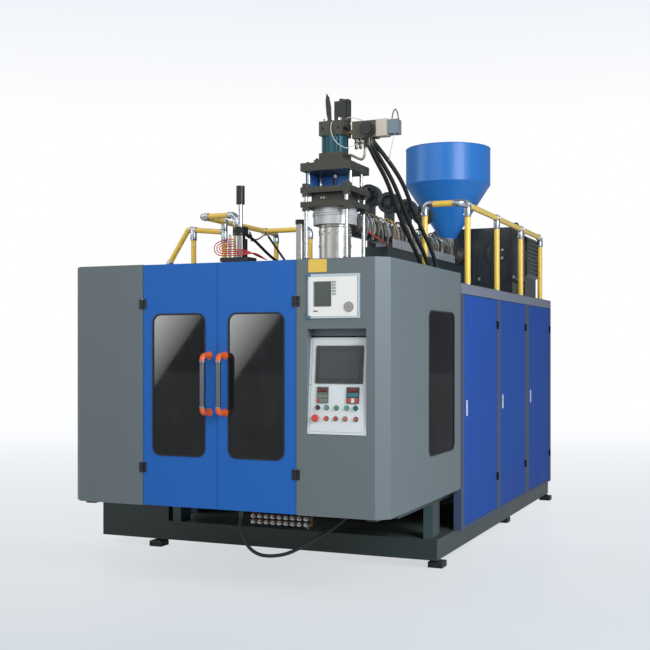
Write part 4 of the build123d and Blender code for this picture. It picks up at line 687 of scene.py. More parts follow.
def studio_lamp(name, place, aim, size, power, colour):
    """A rectangular soft lamp that points at a place."""
    data = bpy.data.lights.new(name, "AREA")
    data.shape = "RECTANGLE"
    data.size, data.size_y = size
    data.energy = power
    data.color = colour
    lamp = bpy.data.objects.new(name, data)
    lamp.location = place
    lamp.rotation_euler = (Vector(aim) - Vector(place)).to_track_quat("-Z", "Y").to_euler()
    bpy.context.scene.collection.objects.link(lamp)
    return lamp


def window_sheen(corner):
    """A slanted card of light that a front window mirrors, brighter towards its upper left."""
    along, across = Vector((-0.617, 0, -0.787)), Vector((-0.787, 0, 0.617))
    lamp = studio_lamp("window_sheen", corner + along * 0.6 + across * 0.34, (0, 0, 0), SHEEN_SIZE,
                       SHEEN_POWER, WHITE_LIGHT)
    lamp.rotation_euler = Matrix((along, -across, (0, -1, 0))).transposed().to_euler()
    lamp.data.use_nodes = True
    tree = lamp.data.node_tree
    offset = add(tree, "VectorMath", operation="SUBTRACT")
    feed(tree, offset.inputs[0], add(tree, "NewGeometry").outputs["Position"])
    feed(tree, offset.inputs[1], corner)
    parts = add(tree, "SeparateXYZ")
    feed(tree, parts.inputs[0], offset.outputs[0])
    rise = sums(tree, "MULTIPLY_ADD", parts.outputs[2], across.z,
                sums(tree, "MULTIPLY", parts.outputs[0], across.x))
    strength = sums(tree, "MULTIPLY", ramp(tree, rise, 0.0, 0.6, 0.13, 1.0),
                    sums(tree, "GREATER_THAN", parts.outputs[0], SHEEN_EDGE))
    feed(tree, tree.nodes["Emission"].inputs["Strength"], strength)


def studio_floor():
    """A pale, slightly glossy floor that fades into the white background."""
    bm = bmesh.new()
    bmesh.ops.create_grid(bm, x_segments=2, y_segments=2, size=60)
    mesh = bpy.data.meshes.new("studio_floor")
    bm.to_mesh(mesh)
    bm.free()
    floor = bpy.data.objects.new("studio_floor", mesh)
    floor.location = (0, 0, -0.001)
    bpy.context.scene.collection.objects.link(floor)
    material = bpy.data.materials.new("studio_floor")
    material.use_nodes = True
    tree = material.node_tree
    shader = tree.nodes["Principled BSDF"]
    parts = add(tree, "SeparateXYZ")
    feed(tree, parts.inputs[0], add(tree, "TexCoord").outputs["Object"])
    into = sums(tree, "MULTIPLY", parts.outputs[1], LOOK_Y)
    depth = sums(tree, "MULTIPLY_ADD", parts.outputs[0], LOOK_X, into)
    grain = noise(tree, add(tree, "TexCoord").outputs["Object"], 40.0, 4)
    feed(tree, shader.inputs["Base Color"], mix(tree, ramp(tree, grain, 0, 1, 0, 0.04),
                                                (0.84, 0.87, 0.90), (0.5, 0.5, 0.5)))
    shader.inputs["Roughness"].default_value = 0.24
    shader.inputs["Specular IOR Level"].default_value = 0.7
    glow = add(tree, "Emission")
    reach = add(tree, "VectorMath", operation="LENGTH")
    feed(tree, reach.inputs[0], add(tree, "TexCoord").outputs["Object"])
    rim = ramp(tree, reach.outputs["Value"], 8.0, 20.0)
    near = mix(tree, ramp(tree, depth, -4.0, -0.5), (0.73, 0.78, 0.81), (0.95, 0.97, 1.0))
    feed(tree, glow.inputs["Color"], mix(tree, rim, near, (1.0, 1.0, 1.0)))
    path = add(tree, "LightPath")
    mirrored = sums(tree, "MULTIPLY", path.outputs["Is Glossy Ray"], 0.25)
    seen = sums(tree, "MAXIMUM", path.outputs["Is Camera Ray"], mirrored)
    seen = sums(tree, "MAXIMUM", seen, path.outputs["Is Transmission Ray"])
    far = sums(tree, "MAXIMUM", ramp(tree, depth, -1.0, 10.0, 0.68, 1.0), rim)
    blend = add(tree, "MixShader")
    feed(tree, blend.inputs[0], sums(tree, "MULTIPLY", seen, far))
    feed(tree, blend.inputs[1], shader.outputs[0])
    feed(tree, blend.inputs[2], glow.outputs[0])
    feed(tree, tree.nodes["Material Output"].inputs["Surface"], blend.outputs[0])
    floor.data.materials.append(material)


def studio_world(scene, ambient):
    """Even light from all round, and a white background that cools towards the top."""
    world = bpy.data.worlds.new("studio_world")
    scene.world = world
    world.use_nodes = True
    tree = world.node_tree
    light = tree.nodes["Background"]
    light.inputs["Color"].default_value = (0.95, 0.98, 1.0, 1)
    light.inputs["Strength"].default_value = ambient
    parts = add(tree, "SeparateXYZ")
    feed(tree, parts.inputs[0], add(tree, "TexCoord").outputs["Generated"])
    high = ramp(tree, parts.outputs[2], 0.2, 0.32)
    shown = add(tree, "Background")
    feed(tree, shown.inputs["Color"], mix(tree, high, (1, 1, 1), tint(238, 242, 249)))
    path = add(tree, "LightPath")
    seen = sums(tree, "MAXIMUM", path.outputs["Is Camera Ray"], path.outputs["Is Transmission Ray"])
    blend = add(tree, "MixShader")
    feed(tree, blend.inputs[0], seen)
    feed(tree, blend.inputs[1], light.outputs[0])
    feed(tree, blend.inputs[2], shown.outputs[0])
    feed(tree, tree.nodes["World Output"].inputs["Surface"], blend.outputs[0])


class MOULDER_OT_hoses(bpy.types.Operator):
    """Lay the free hoses and the drain cable along their routes"""

    bl_idname = "moulder.hoses"
    bl_label = "Hoses"

    def execute(self, context):
        for name, (radius, length, points) in HOSES.items():
            hose = new_lines(name + "_line", [[ORIGIN + Vector(place) for place in points]],
                             radius, stock("rubber"), rounds=5, steps=12)
            settle(hose, "machine", (name,))
        return {"FINISHED"}


class MOULDER_OT_air_tubes(bpy.types.Operator):
    """Wind the four thin red air tubes beside the blow station"""

    bl_idname = "moulder.air_tubes"
    bl_label = "Air tubes"

    def execute(self, context):
        front, middle = 864, 2372
        for turn in range(4):
            half = 12 + 16 * turn
            left = -446 - 16 * turn
            y = front - 10 * turn
            route = ((-330, y, middle + half), (left, y, middle + half), (left, y, middle - half),
                     (-330, y, middle - half), (-232, y + 8, middle - half - 10 + 4 * turn),
                     (-152, y + 30, 2298 + 12 * turn), (-100, y + 70, 2280))
            keep_lines("air_tube_%d" % (turn + 1), [route], 0.004, stock("red tube"), "machine",
                       ("air_tubes",))
        return {"FINISHED"}


class MOULDER_OT_housing(bpy.types.Operator):
    """Finish the guard housing, its side windows with their gaskets and the bare plate"""

    bl_idname = "moulder.housing"
    bl_label = "Housing"

    def execute(self, context):
        colours = context.scene.moulder_colours
        sizes = context.scene.moulder_sizes
        leaf = region(-FAR, FAR, -FAR, -0.6, 0, FAR, HINGE_BLACK, 0.35)
        coat = surface("housing_paint", tuple(colours.housing), 0.46, regions=(leaf,), mottle=0.035,
                       dust=0.12, wear=0.3, peel=0.0008)
        for side in ("left", "right"):
            wear_on("guard_panel_" + side, coat)
        wear_on("guard_side_windows", dark_glass("side_glass", 0.02))
        wear_on("door_hinge_pins", stock("bolt"))
        bm = bmesh.new()
        for side in (-1, 1):
            place = Matrix.Translation((side * 1186.2, 1182.5, 1370)) @ Matrix.Rotation(
                side * math.pi / 2, 4, "Z")
            add_gasket(bm, place, 615, 1016, sizes.gasket * 1000)
        keep_piece("side_window_gaskets", bm, [stock("rubber")], "machine")
        bm = bmesh.new()
        add_plate(bm, Matrix.Translation((718, 0, 2143.5)), 128, 83, 5, 1.2)
        for x in (664, 772):
            for z in (2112, 2175):
                add_rod(bm, (x, -1, z), (x, -3, z), 2.6, sides=12, edge=0.6)
        back = bmesh.new()
        add_box(back, (646, 76, 1694), (1050, 79, 1739.5), 0.5)
        keep_piece("recess_back", back, [coat], "machine")
        keep_piece("bare_yellow_plate", bm, [surface("yellow_plate", tint(238, 196, 84), 0.42,
                                                     mottle=0.05)], "machine")
        return {"FINISHED"}


def add_gasket(bm, place, width, height, band):
    """A rubber strip round a window, on the sheet's outer face."""
    add_plate(bm, place, width + band, height + band, 55 + band / 2, 3.5, ring=band)


def dark_glass(name="dark_glass", shine=0.5):
    """Tinted window sheet, nearly black, with a gloss that the room is seen in."""
    if name in finishes:
        return finishes[name]
    material = bpy.data.materials.new(name)
    material.use_nodes = True
    tree = material.node_tree
    shader = tree.nodes["Principled BSDF"]
    place = add(tree, "TexCoord").outputs["Object"]
    smears = noise(tree, stretched(tree, place, (3, 3, 1.2)), 2.0, 5, 0.6)
    feed(tree, shader.inputs["Base Color"], mix(tree, ramp(tree, smears, 0.3, 0.8), tint(20, 21, 22),
                                                tint(34, 35, 37)))
    feed(tree, shader.inputs["Roughness"], ramp(tree, smears, 0.2, 0.8, 0.02, 0.05))
    shader.inputs["IOR"].default_value = 1.49
    shader.inputs["Specular IOR Level"].default_value = shine
    finishes[name] = material
    return material


class MOULDER_OT_doors(bpy.types.Operator):
    """Finish the two front doors with their windows, gaskets, handles and hinge leaves"""

    bl_idname = "moulder.doors"
    bl_label = "Front doors"

    def execute(self, context):
        colours = context.scene.moulder_colours
        sizes = context.scene.moulder_sizes
        coat = surface("door_paint", tuple(colours.doors), 0.42, mottle=0.03, dust=0.1, wear=0.3,
                       shine=0.25)
        tube = region(-FAR, FAR, -FAR, -60, 1227.5, 1528.5, tint(136, 140, 146), 0.26, 0.95)
        leaves = region(-FAR, FAR, -20, 20, 0, 1100, HINGE_BLACK, 0.35, 0.0)
        high_leaves = region(-FAR, FAR, -20, 20, 1700, FAR, HINGE_BLACK, 0.35, 0.0)
        ends = surface("handle_finish", tuple(colours.handles), 0.24, regions=(tube, leaves,
                       high_leaves), mottle=0.05, dust=0.05, wear=0.1, coat=0.05)
        spans = {"left": (-506, -105), "right": (77, 480)}
        for side, (x0, x1) in spans.items():
            wear_on(side + "_front_door", coat)
            wear_on(side + "_door_window", dark_glass())
            wear_on(side + "_door_fittings", ends)
            bm = bmesh.new()
            place = Matrix.Translation(((x0 + x1) / 2, 0, 1367.5))
            add_gasket(bm, place, x1 - x0, 955, sizes.gasket * 1000)
            keep_piece(side + "_door_gasket", bm, [stock("rubber")], side + "_door")
            bm = bmesh.new()
            x = -71 if side == "left" else 49
            for z in (1227, 1529):
                add_turned(bm, (x, -95, z), (0, 0, 1), ((17, -4), (20.5, -4), (20.5, 4), (17, 4)))
            keep_piece(side + "_handle_rings", bm, [stock("bolt")], side + "_door")
        return {"FINISHED"}


def panel_place(x, z):
    """A place on the face of the leaning operator panel."""
    y = (z - PANEL_LOW) * 60 / 625
    return Matrix.Translation((x, y, z)) @ Matrix.Rotation(-PANEL_TILT, 4, "X")


class MOULDER_OT_operator_panel(bpy.types.Operator):
    """Finish the operator panel with its screen, meters, buttons and border"""

    bl_idname = "moulder.operator_panel"
    bl_label = "Operator panel"

    def execute(self, context):
        turn = Matrix.Rotation(PANEL_TILT, 3, "X")
        face = turn @ spot(848, 0, PANEL_LOW)
        span = Vector((2, 2, 2))
        bezels = (face - span, Vector((face.x + 2, face.y - 0.0006, face.z + 2)),
                  tint(120, 124, 126), 0.25, 0.9)
        wear_on("operator_panel", surface("panel_enamel", tint(222, 226, 224), 0.36,
                                          regions=(bezels,), mottle=0.02, dust=0.04, wear=0.05,
                                          turn=PANEL_TILT))
        glass = region(714, 991, -FAR, FAR, 1419, 1601, tint(50, 58, 62), 0.22)
        left = region(700, 790, -FAR, FAR, 1255, 1372, tint(96, 100, 92), 0.4)
        right = region(905, 1000, -FAR, FAR, 1255, 1372, tint(58, 66, 72), 0.35)
        controller = region(690, 820, -FAR, -1, 1880, 2045, tint(76, 84, 78), 0.2)
        wear_on("panel_displays", surface("display_housing", tint(44, 47, 45), 0.2,
                                          regions=(glass, left, right, controller), mottle=0.05,
                                          dust=0.03, wear=0.05, peel=0.0001))
        caps = {
            "selector_left": (58, 64, 66), "start_button_1": (84, 138, 134),
            "start_button_2": (66, 142, 104), "start_button_3": (72, 158, 128),
            "selector_right": (28, 108, 112), "emergency_stop": (206, 62, 48),
            "stop_button_1": (196, 74, 56), "stop_button_2": (176, 74, 62),
            "stop_button_3": (192, 106, 66), "stop_button_4": (176, 78, 70),
        }
        for node, screen in caps.items():
            wear_on(node, surface(node + "_plastic", tint(*screen), 0.28, mottle=0.05, dust=0.04,
                                  wear=0.1, coat=0.3, peel=0.0002))
        keep_panel_trim()
        keep_meter_faces()
        return {"FINISHED"}


def keep_panel_trim():
    """The printed border line and the corner screws of the operator panel."""
    bm = bmesh.new()
    middle = panel_place(848, 1379)
    add_plate(bm, middle, 376, 598, 10, 0.5, ring=2.2)
    keep_piece("panel_border", bm, [surface("border_ink", tint(150, 156, 158), 0.5)], "machine")
    bm = bmesh.new()
    for x in (655, 1041):
        for z in (1076, 1380, 1680):
            place = panel_place(x, z)
            add_rod(bm, place @ Vector((0, 0.5, 0)), place @ Vector((0, -1.8, 0)), 4, sides=16, edge=0.6)
    keep_piece("panel_screws", bm, [stock("bolt")], "machine")


def keep_meter_faces():
    """Displays and keys of the two meters, and thin frame of the touch screen."""
    inks = [surface("meter_window", tint(70, 22, 32), 0.2), surface("key_red", tint(206, 60, 52), 0.4),
            surface("key_teal", tint(58, 116, 122), 0.4), surface("key_gray", tint(132, 136, 124), 0.45),
            surface("key_white", tint(226, 226, 222), 0.4), surface("digits", tint(122, 40, 46), 0.3)]
    bm = bmesh.new()

    def patch(x0, x1, z0, z1, index, proud=10.2):
        place = panel_place((x0 + x1) / 2, (z0 + z1) / 2)
        add_box(bm, (-(x1 - x0) / 2, -proud, -(z1 - z0) / 2), ((x1 - x0) / 2, -8, (z1 - z0) / 2),
                0.8, index, place)

    patch(711, 779, 1334, 1362, 0)
    for column in range(3):
        patch(716 + column * 20, 730 + column * 20, 1340, 1356, 5, 10.8)
    for row in range(2):
        for column in range(4):
            shade = 1 if column == 0 and row == 0 else 3
            patch(712 + column * 17, 725 + column * 17, 1272 + row * 28, 1290 + row * 28, shade)
    patch(916, 990, 1336, 1363, 0)
    for column in range(4):
        patch(920 + column * 17, 933 + column * 17, 1341, 1357, 5, 10.8)
    patch(916, 990, 1306, 1330, 2)
    for column, shade in enumerate((1, 4, 1)):
        patch(917 + column * 26, 939 + column * 26, 1270, 1298, shade)
    keep_piece("meter_faces", bm, inks, "machine")
    bm = bmesh.new()
    add_plate(bm, panel_place(853, 1510.5) @ Matrix.Translation((0, -7, 0)), 282, 187, 4, 0.6, ring=3)
    keep_piece("screen_edge", bm, [surface("screen_edge", tint(30, 33, 33), 0.3)], "machine")


class MOULDER_OT_controller(bpy.types.Operator):
    """Finish the parison controller with its frame, clips, keys and round pad"""

    bl_idname = "moulder.controller"
    bl_label = "Controller"

    def execute(self, context):
        keys = region(820, 852, -FAR, -8.3, 1950, 2045, tint(150, 164, 150), 0.45)
        pad = region(900, 974, -FAR, -8.3, 1840, 1914, tint(168, 164, 158), 0.5)
        # The pale frame's four strips take different tints: painted light and shade on its bevelled edges,
        # darkest at the right.
        frame_top = region(640, 1020, -FAR, 0, 2071, 2095, tint(188, 200, 206), 0.35)
        frame_right = region(992, 1020, -FAR, 0, 1800, 2095, tint(168, 180, 188), 0.35)
        frame_low = region(640, 1020, -FAR, 0, 1800, 1820, tint(190, 198, 192), 0.35)
        frame_left = region(640, 664, -FAR, 0, 1800, 2095, tint(196, 196, 204), 0.35)
        wear_on("controller_unit", surface(
            "controller_enamel", tint(244, 241, 232), 0.38, mottle=0.02, dust=0.04, wear=0.05,
            regions=(keys, pad, frame_left, frame_right, frame_top, frame_low)))
        bm = bmesh.new()
        middle = Matrix.Translation((831, -8, 1947.5))
        add_plate(bm, middle, 350, 275, 7, 1.5, ring=6)
        keep_piece("controller_rim", bm, [surface("rim_enamel", tint(206, 214, 218), 0.3)],
                   "machine")
        bm = bmesh.new()
        for z0, z1 in ((1801, 1842), (2053, 2094)):
            add_box(bm, (647, -11, z0), (653, 0, z1), 1.5)
            low = z0 if z0 < 1900 else z1 - 22
            add_box(bm, (651, -11, low), (674, -7, low + 22), 1.5)
        keep_piece("controller_clips", bm, [surface("clip_teal", tint(50, 122, 142), 0.4)],
                   "machine")
        bm = bmesh.new()
        add_box(bm, (692, -9, 1849), (722, -7.5, 1856), 0.5)
        for step in range(5):
            z = 2036 - 19 * step
            add_rod(bm, (828, -11, z), (828, -12, z), 3, sides=12, edge=0.3)
        keep_piece("controller_slot", bm, [stock("black satin")], "machine")
        bm = bmesh.new()
        add_turned(bm, (937, -12, 1877), (0, -1, 0), ((26, 0), (30, 0), (30, 2), (26, 2)))
        add_turned(bm, (937, -12, 1877), (0, -1, 0), ((0, 0), (12, 0), (11, 2), (0, 2.4)), closed=False)
        keep_piece("pad_ring", bm, [surface("pad_gray", tint(150, 146, 142), 0.5)], "machine")
        bm = bmesh.new()
        add_plate(bm, Matrix.Translation((755, -8, 1961)), 122, 160, 3, 1.2, ring=3)
        keep_piece("controller_screen_edge", bm, [surface("slate_edge", tint(96, 100, 98), 0.4)],
                   "machine")
        return {"FINISHED"}


# Front and rear edge of each cabinet door, its lower and upper edge, and the grip's distance from the front
BAY_LOW, BAY_HIGH = 240.2, 2034.8
GRIP_INSET = 65
CABINET_BAYS = {"front": (1779, 2816), "middle": (2943, 3907), "rear": (4072, 5063)}


class MOULDER_OT_cabinet(bpy.types.Operator):
    """Finish the cabinet's frame, fixed panels, doors, deck and equipment"""

    bl_idname = "moulder.cabinet"
    bl_label = "Cabinet"

    def execute(self, context):
        colours = context.scene.moulder_colours
        blue = tuple(colours.cabinet)
        panels = [region(-1190, -1182, y0 + 0.2, y1 - 0.2, BAY_LOW, BAY_HIGH, blue, 0.4)
                  for y0, y1 in CABINET_BAYS.values()]
        panels.append(region(-1126, 1126, 5130, 5140, BAY_LOW, BAY_HIGH, blue, 0.4))
        hinges = region(1186.4, FAR, 0, FAR, 0, 2080, HINGE_BLACK, 0.35)
        panels.append(region(-FAR, FAR, 0, FAR, 2040, FAR, tint(126, 131, 144), 0.4))
        wear_on("cabinet_frame", surface("cabinet_frame_paint", tuple(colours.frame), 0.5,
                                         regions=(*panels, hinges), mottle=0.03, dust=0.15,
                                         wear=0.3, shine=0.2))
        for name, (y0, y1) in CABINET_BAYS.items():
            grip_y = y0 + GRIP_INSET
            grip = region(1160, 1189, grip_y - 17.5, grip_y + 17.5, 1089, 1211, tint(214, 220, 228),
                          0.35)
            leaf = region(1186.4, FAR, y1 - 60, y1 + 20, 0, FAR, HINGE_BLACK, 0.35)
            wear_on("cabinet_door_" + name, surface(
                "cabinet_door_paint_" + name, blue, 0.5, regions=(grip, leaf), mottle=0.03,
                dust=0.1, wear=0.3, shine=0.06))
        wear_on("deck_plate", surface("deck_tread", tint(96, 102, 108), 0.45, metallic=0.3,
                                      dust=0.3, wear=0.4, tread=True))
        wear_on("cabinet_equipment", surface("equipment_paint", tint(150, 156, 160), 0.42, dust=0.2))
        bm = bmesh.new()
        for y0, y1 in CABINET_BAYS.values():
            grip_y = y0 + GRIP_INSET
            place = Matrix.Translation((1188.2, grip_y, 1150)) @ Matrix.Rotation(math.pi / 2, 4, "Z")
            add_plate(bm, place, 34, 120, 6, 1.6, ring=4)
            add_rod(bm, (1187, grip_y, 1128), (1190.5, grip_y, 1128), 6, sides=20, edge=0.6)
        keep_piece("grip_frames_front_door", bm, [stock("white plastic")], "machine")
        return {"FINISHED"}


class MOULDER_OT_base(bpy.types.Operator):
    """Finish the base frame, feet, ladder platform, clamp and water manifold"""

    bl_idname = "moulder.base"
    bl_label = "Base and clamp"

    def execute(self, context):
        colours = context.scene.moulder_colours
        base, bed = tuple(colours.base), tuple(colours.bed)
        posts = region(-1100, 1100, 1236, 1402, 216.5, 479, bed, 0.42)
        wear_on("base_beams", surface("base_paint", base, 0.36, regions=(posts,), mottle=0.08,
                                      dust=0.35, wear=0.5))
        wear_on("ladder_platform", surface("platform_paint", base, 0.38, mottle=0.08, dust=0.3,
                                           wear=0.5))
        wear_on("levelling_feet", surface("feet_rubber", tint(30, 32, 33), 0.5, mottle=0.12,
                                          dust=0.3, wear=0.2))
        rails = [region(-FAR, FAR, y - 20.5, y + 20.5, 600.5, 640.5, tint(180, 182, 184), 0.25, 1.0)
                 for y in (510, 1310)]
        wear_on("clamp_bed", surface("bed_paint", bed, 0.4, regions=rails, dust=0.2, wear=0.3))
        bars = [region(head - 31, head + 31, -FAR, FAR, z - 31, z + 31, tint(196, 198, 200), 0.18, 1.0)
                for head in (172, 752) for z in (1310, 1840)]
        wear_on("carriage_frame", surface("carriage_paint", bed, 0.4, regions=bars, dust=0.15,
                                          wear=0.3))
        for node in ("front_mould_platen", "rear_mould_platen"):
            wear_on(node, stock("aluminium"))
        pipe = region(-FAR, FAR, 119, FAR, 0, FAR, tint(110, 84, 60), 0.45, 0.7)
        wear_on("water_manifold", surface("manifold_metal", tint(178, 182, 182), 0.36, 0.8,
                                          regions=(pipe,), mottle=0.15, dust=0.12, wear=0.1))
        bm = bmesh.new()
        for z in (500, 462):
            for index in range(9):
                x = 209 + index * 48.125
                add_rod(bm, (x, 76, z), (x, 84, z), 8.5, sides=6, edge=0.6)
                add_rod(bm, (x, 96, z), (x, 108, z), 14, sides=6, edge=1)
        keep_piece("manifold_nuts", bm, [stock("machined steel")], "machine")
        return {"FINISHED"}


# Where the handrails run: their height, the two sides, the ends and the posts between
RAIL_Z = 2750
RAIL_SIDE = 1160
RAIL_FRONT, RAIL_REAR = 1811, 4709
RAIL_POSTS = (1960, 2905, 3830)
RIGHT_END, LEFT_END = 854, -824
LANDING_REAR, LANDING_CROSS, CROSS_END = 3295, 3035, -678
DECK_TOP = 2120
STEP_Y = 2225
DOWN, AHEAD, BEHIND = (0, 0, -1), (0, -1, 0), (0, 1, 0)
TO_LEFT, TO_RIGHT = (-1, 0, 0), (1, 0, 0)
ELBOW_BEND = 45
STEP_BEND = 38
POST_SLEEVE, TEE_SLEEVE = 95, 32


class MOULDER_OT_handrails(bpy.types.Operator):
    """Build the yellow handrail tubes with their zinc elbows, tees and clamps"""

    bl_idname = "moulder.handrails"
    bl_label = "Handrails"

    def execute(self, context):
        colours = context.scene.moulder_colours
        radius = context.scene.moulder_sizes.rail * 1000
        tubes, fittings = bmesh.new(), bmesh.new()
        for corner, first, last in (
                ((RIGHT_END, RAIL_FRONT, RAIL_Z), DOWN, TO_RIGHT),
                ((RAIL_SIDE, RAIL_FRONT, RAIL_Z), TO_LEFT, BEHIND),
                ((RAIL_SIDE, RAIL_REAR, RAIL_Z), AHEAD, DOWN),
                ((LEFT_END, RAIL_FRONT, RAIL_Z), DOWN, TO_LEFT),
                ((-RAIL_SIDE, RAIL_FRONT, RAIL_Z), TO_RIGHT, BEHIND),
                ((-RAIL_SIDE, LANDING_REAR, RAIL_Z), AHEAD, DOWN),
                ((CROSS_END, LANDING_CROSS, RAIL_Z), TO_LEFT, DOWN)):
            add_bend(fittings, corner, first, last, ELBOW_BEND, radius + 4.5)
            for way in (first, last):
                add_sleeve(fittings, corner, way, ELBOW_BEND, POST_SLEEVE if way == DOWN else 75,
                           radius)
            if DOWN in (first, last):
                add_post(tubes, fittings, corner, ELBOW_BEND + 1, radius)
        step_start, step_tee = Vector((-RAIL_SIDE, STEP_Y, 2660)), Vector((-1477, STEP_Y, 2691))
        bend, step_end = Vector((-1529, STEP_Y, 2702)), Vector((-1735, STEP_Y, 2388))
        outward, onward = (step_tee - step_start).normalized(), (bend - step_tee).normalized()
        slope = (step_end - bend).normalized()
        along = ((AHEAD, TEE_SLEEVE), (BEHIND, TEE_SLEEVE))
        tees = [((RAIL_SIDE, y, RAIL_Z), (*along, (DOWN, POST_SLEEVE))) for y in RAIL_POSTS]
        tees += [((-RAIL_SIDE, LANDING_CROSS, RAIL_Z), (*along, (TO_RIGHT, TEE_SLEEVE))),
                 ((-RAIL_SIDE, STEP_Y, RAIL_Z), (*along, (DOWN, 80))),
                 (step_start, ((outward, TEE_SLEEVE), (DOWN, POST_SLEEVE))),
                 (step_tee, ((-outward, TEE_SLEEVE), (onward, 30), (DOWN, POST_SLEEVE))),
                 (step_end, ((-slope, 34), (DOWN, 60)))]
        for centre, sleeves in tees:
            add_ball(fittings, centre, radius + 5)
            for way, reach in sleeves:
                add_sleeve(fittings, centre, way, 0, reach, radius)
        for centre in [tee[0] for tee in tees[:len(RAIL_POSTS)]] + [step_start, step_tee, step_end]:
            add_post(tubes, fittings, centre, 20, radius)
        short = ELBOW_BEND + 1
        right = (RAIL_FRONT + short, *RAIL_POSTS, RAIL_REAR - short)
        left = (RAIL_FRONT + short, STEP_Y, LANDING_CROSS, LANDING_REAR - short)
        runs = [((x, y0, RAIL_Z), (x, y1, RAIL_Z)) for x, line in ((RAIL_SIDE, right),
                                                                   (-RAIL_SIDE, left))
                for y0, y1 in zip(line, line[1:])]
        runs += [((x0, y, RAIL_Z), (x1, y, RAIL_Z)) for x0, x1, y in (
            (RIGHT_END + short, RAIL_SIDE - short, RAIL_FRONT),
            (-RAIL_SIDE + short, LEFT_END - short, RAIL_FRONT),
            (-RAIL_SIDE, CROSS_END - short, LANDING_CROSS))]
        runs += [(step_start, step_tee), (step_tee, bend - onward * 20), (bend + slope * 20, step_end)]
        for start, end in runs:
            add_rod(tubes, start, end, radius, sides=28, edge=0)
        add_bend(tubes, bend, -onward, slope, STEP_BEND, radius)
        add_box(fittings, (-1140, 3021, 2704), (-1112, 3049, 2722), 1.5)
        yellow = surface("rail_paint", tuple(colours.rails), 0.3, mottle=0.05, dust=0.05, wear=0.3,
                         coat=0.3)
        keep_piece("rail_tubes", tubes, [yellow], "machine", ("handrails",))
        keep_piece("rail_fittings", fittings, [stock("zinc")], "machine", ("handrails",))
        return {"FINISHED"}


def add_sleeve(bm, centre, way, inner, reach, radius):
    """One socket of a zinc fitting, with the bead at its mouth and its grub screw."""
    middle, along = Vector(centre), Vector(way)
    add_rod(bm, middle + along * max(inner - 2, 0), middle + along * reach, radius + 4.5, sides=28,
            edge=1)
    bead = middle + along * (reach - 5)
    add_ring(bm, bead, along, radius + 4.5, 2.6, sides=28)
    if reach > 50:
        side = along.orthogonal().normalized() * (radius + 3)
        add_rod(bm, bead - along * 14 + side, bead - along * 14 + side * 1.32, 4, sides=6, edge=0.5)


def add_post(tubes, fittings, centre, short, radius):
    """A yellow post from the deck to just under a fitting, on a round foot."""
    foot = Vector((centre[0], centre[1], DECK_TOP))
    add_rod(tubes, foot, (centre[0], centre[1], centre[2] - short), radius, sides=28, edge=0)
    add_turned(fittings, foot, (0, 0, 1), ((0, 0), (26, 0), (26, 5), (24.5, 8), (0, 8)), closed=False)


HEAD_X, HEAD_Y = 462, 910


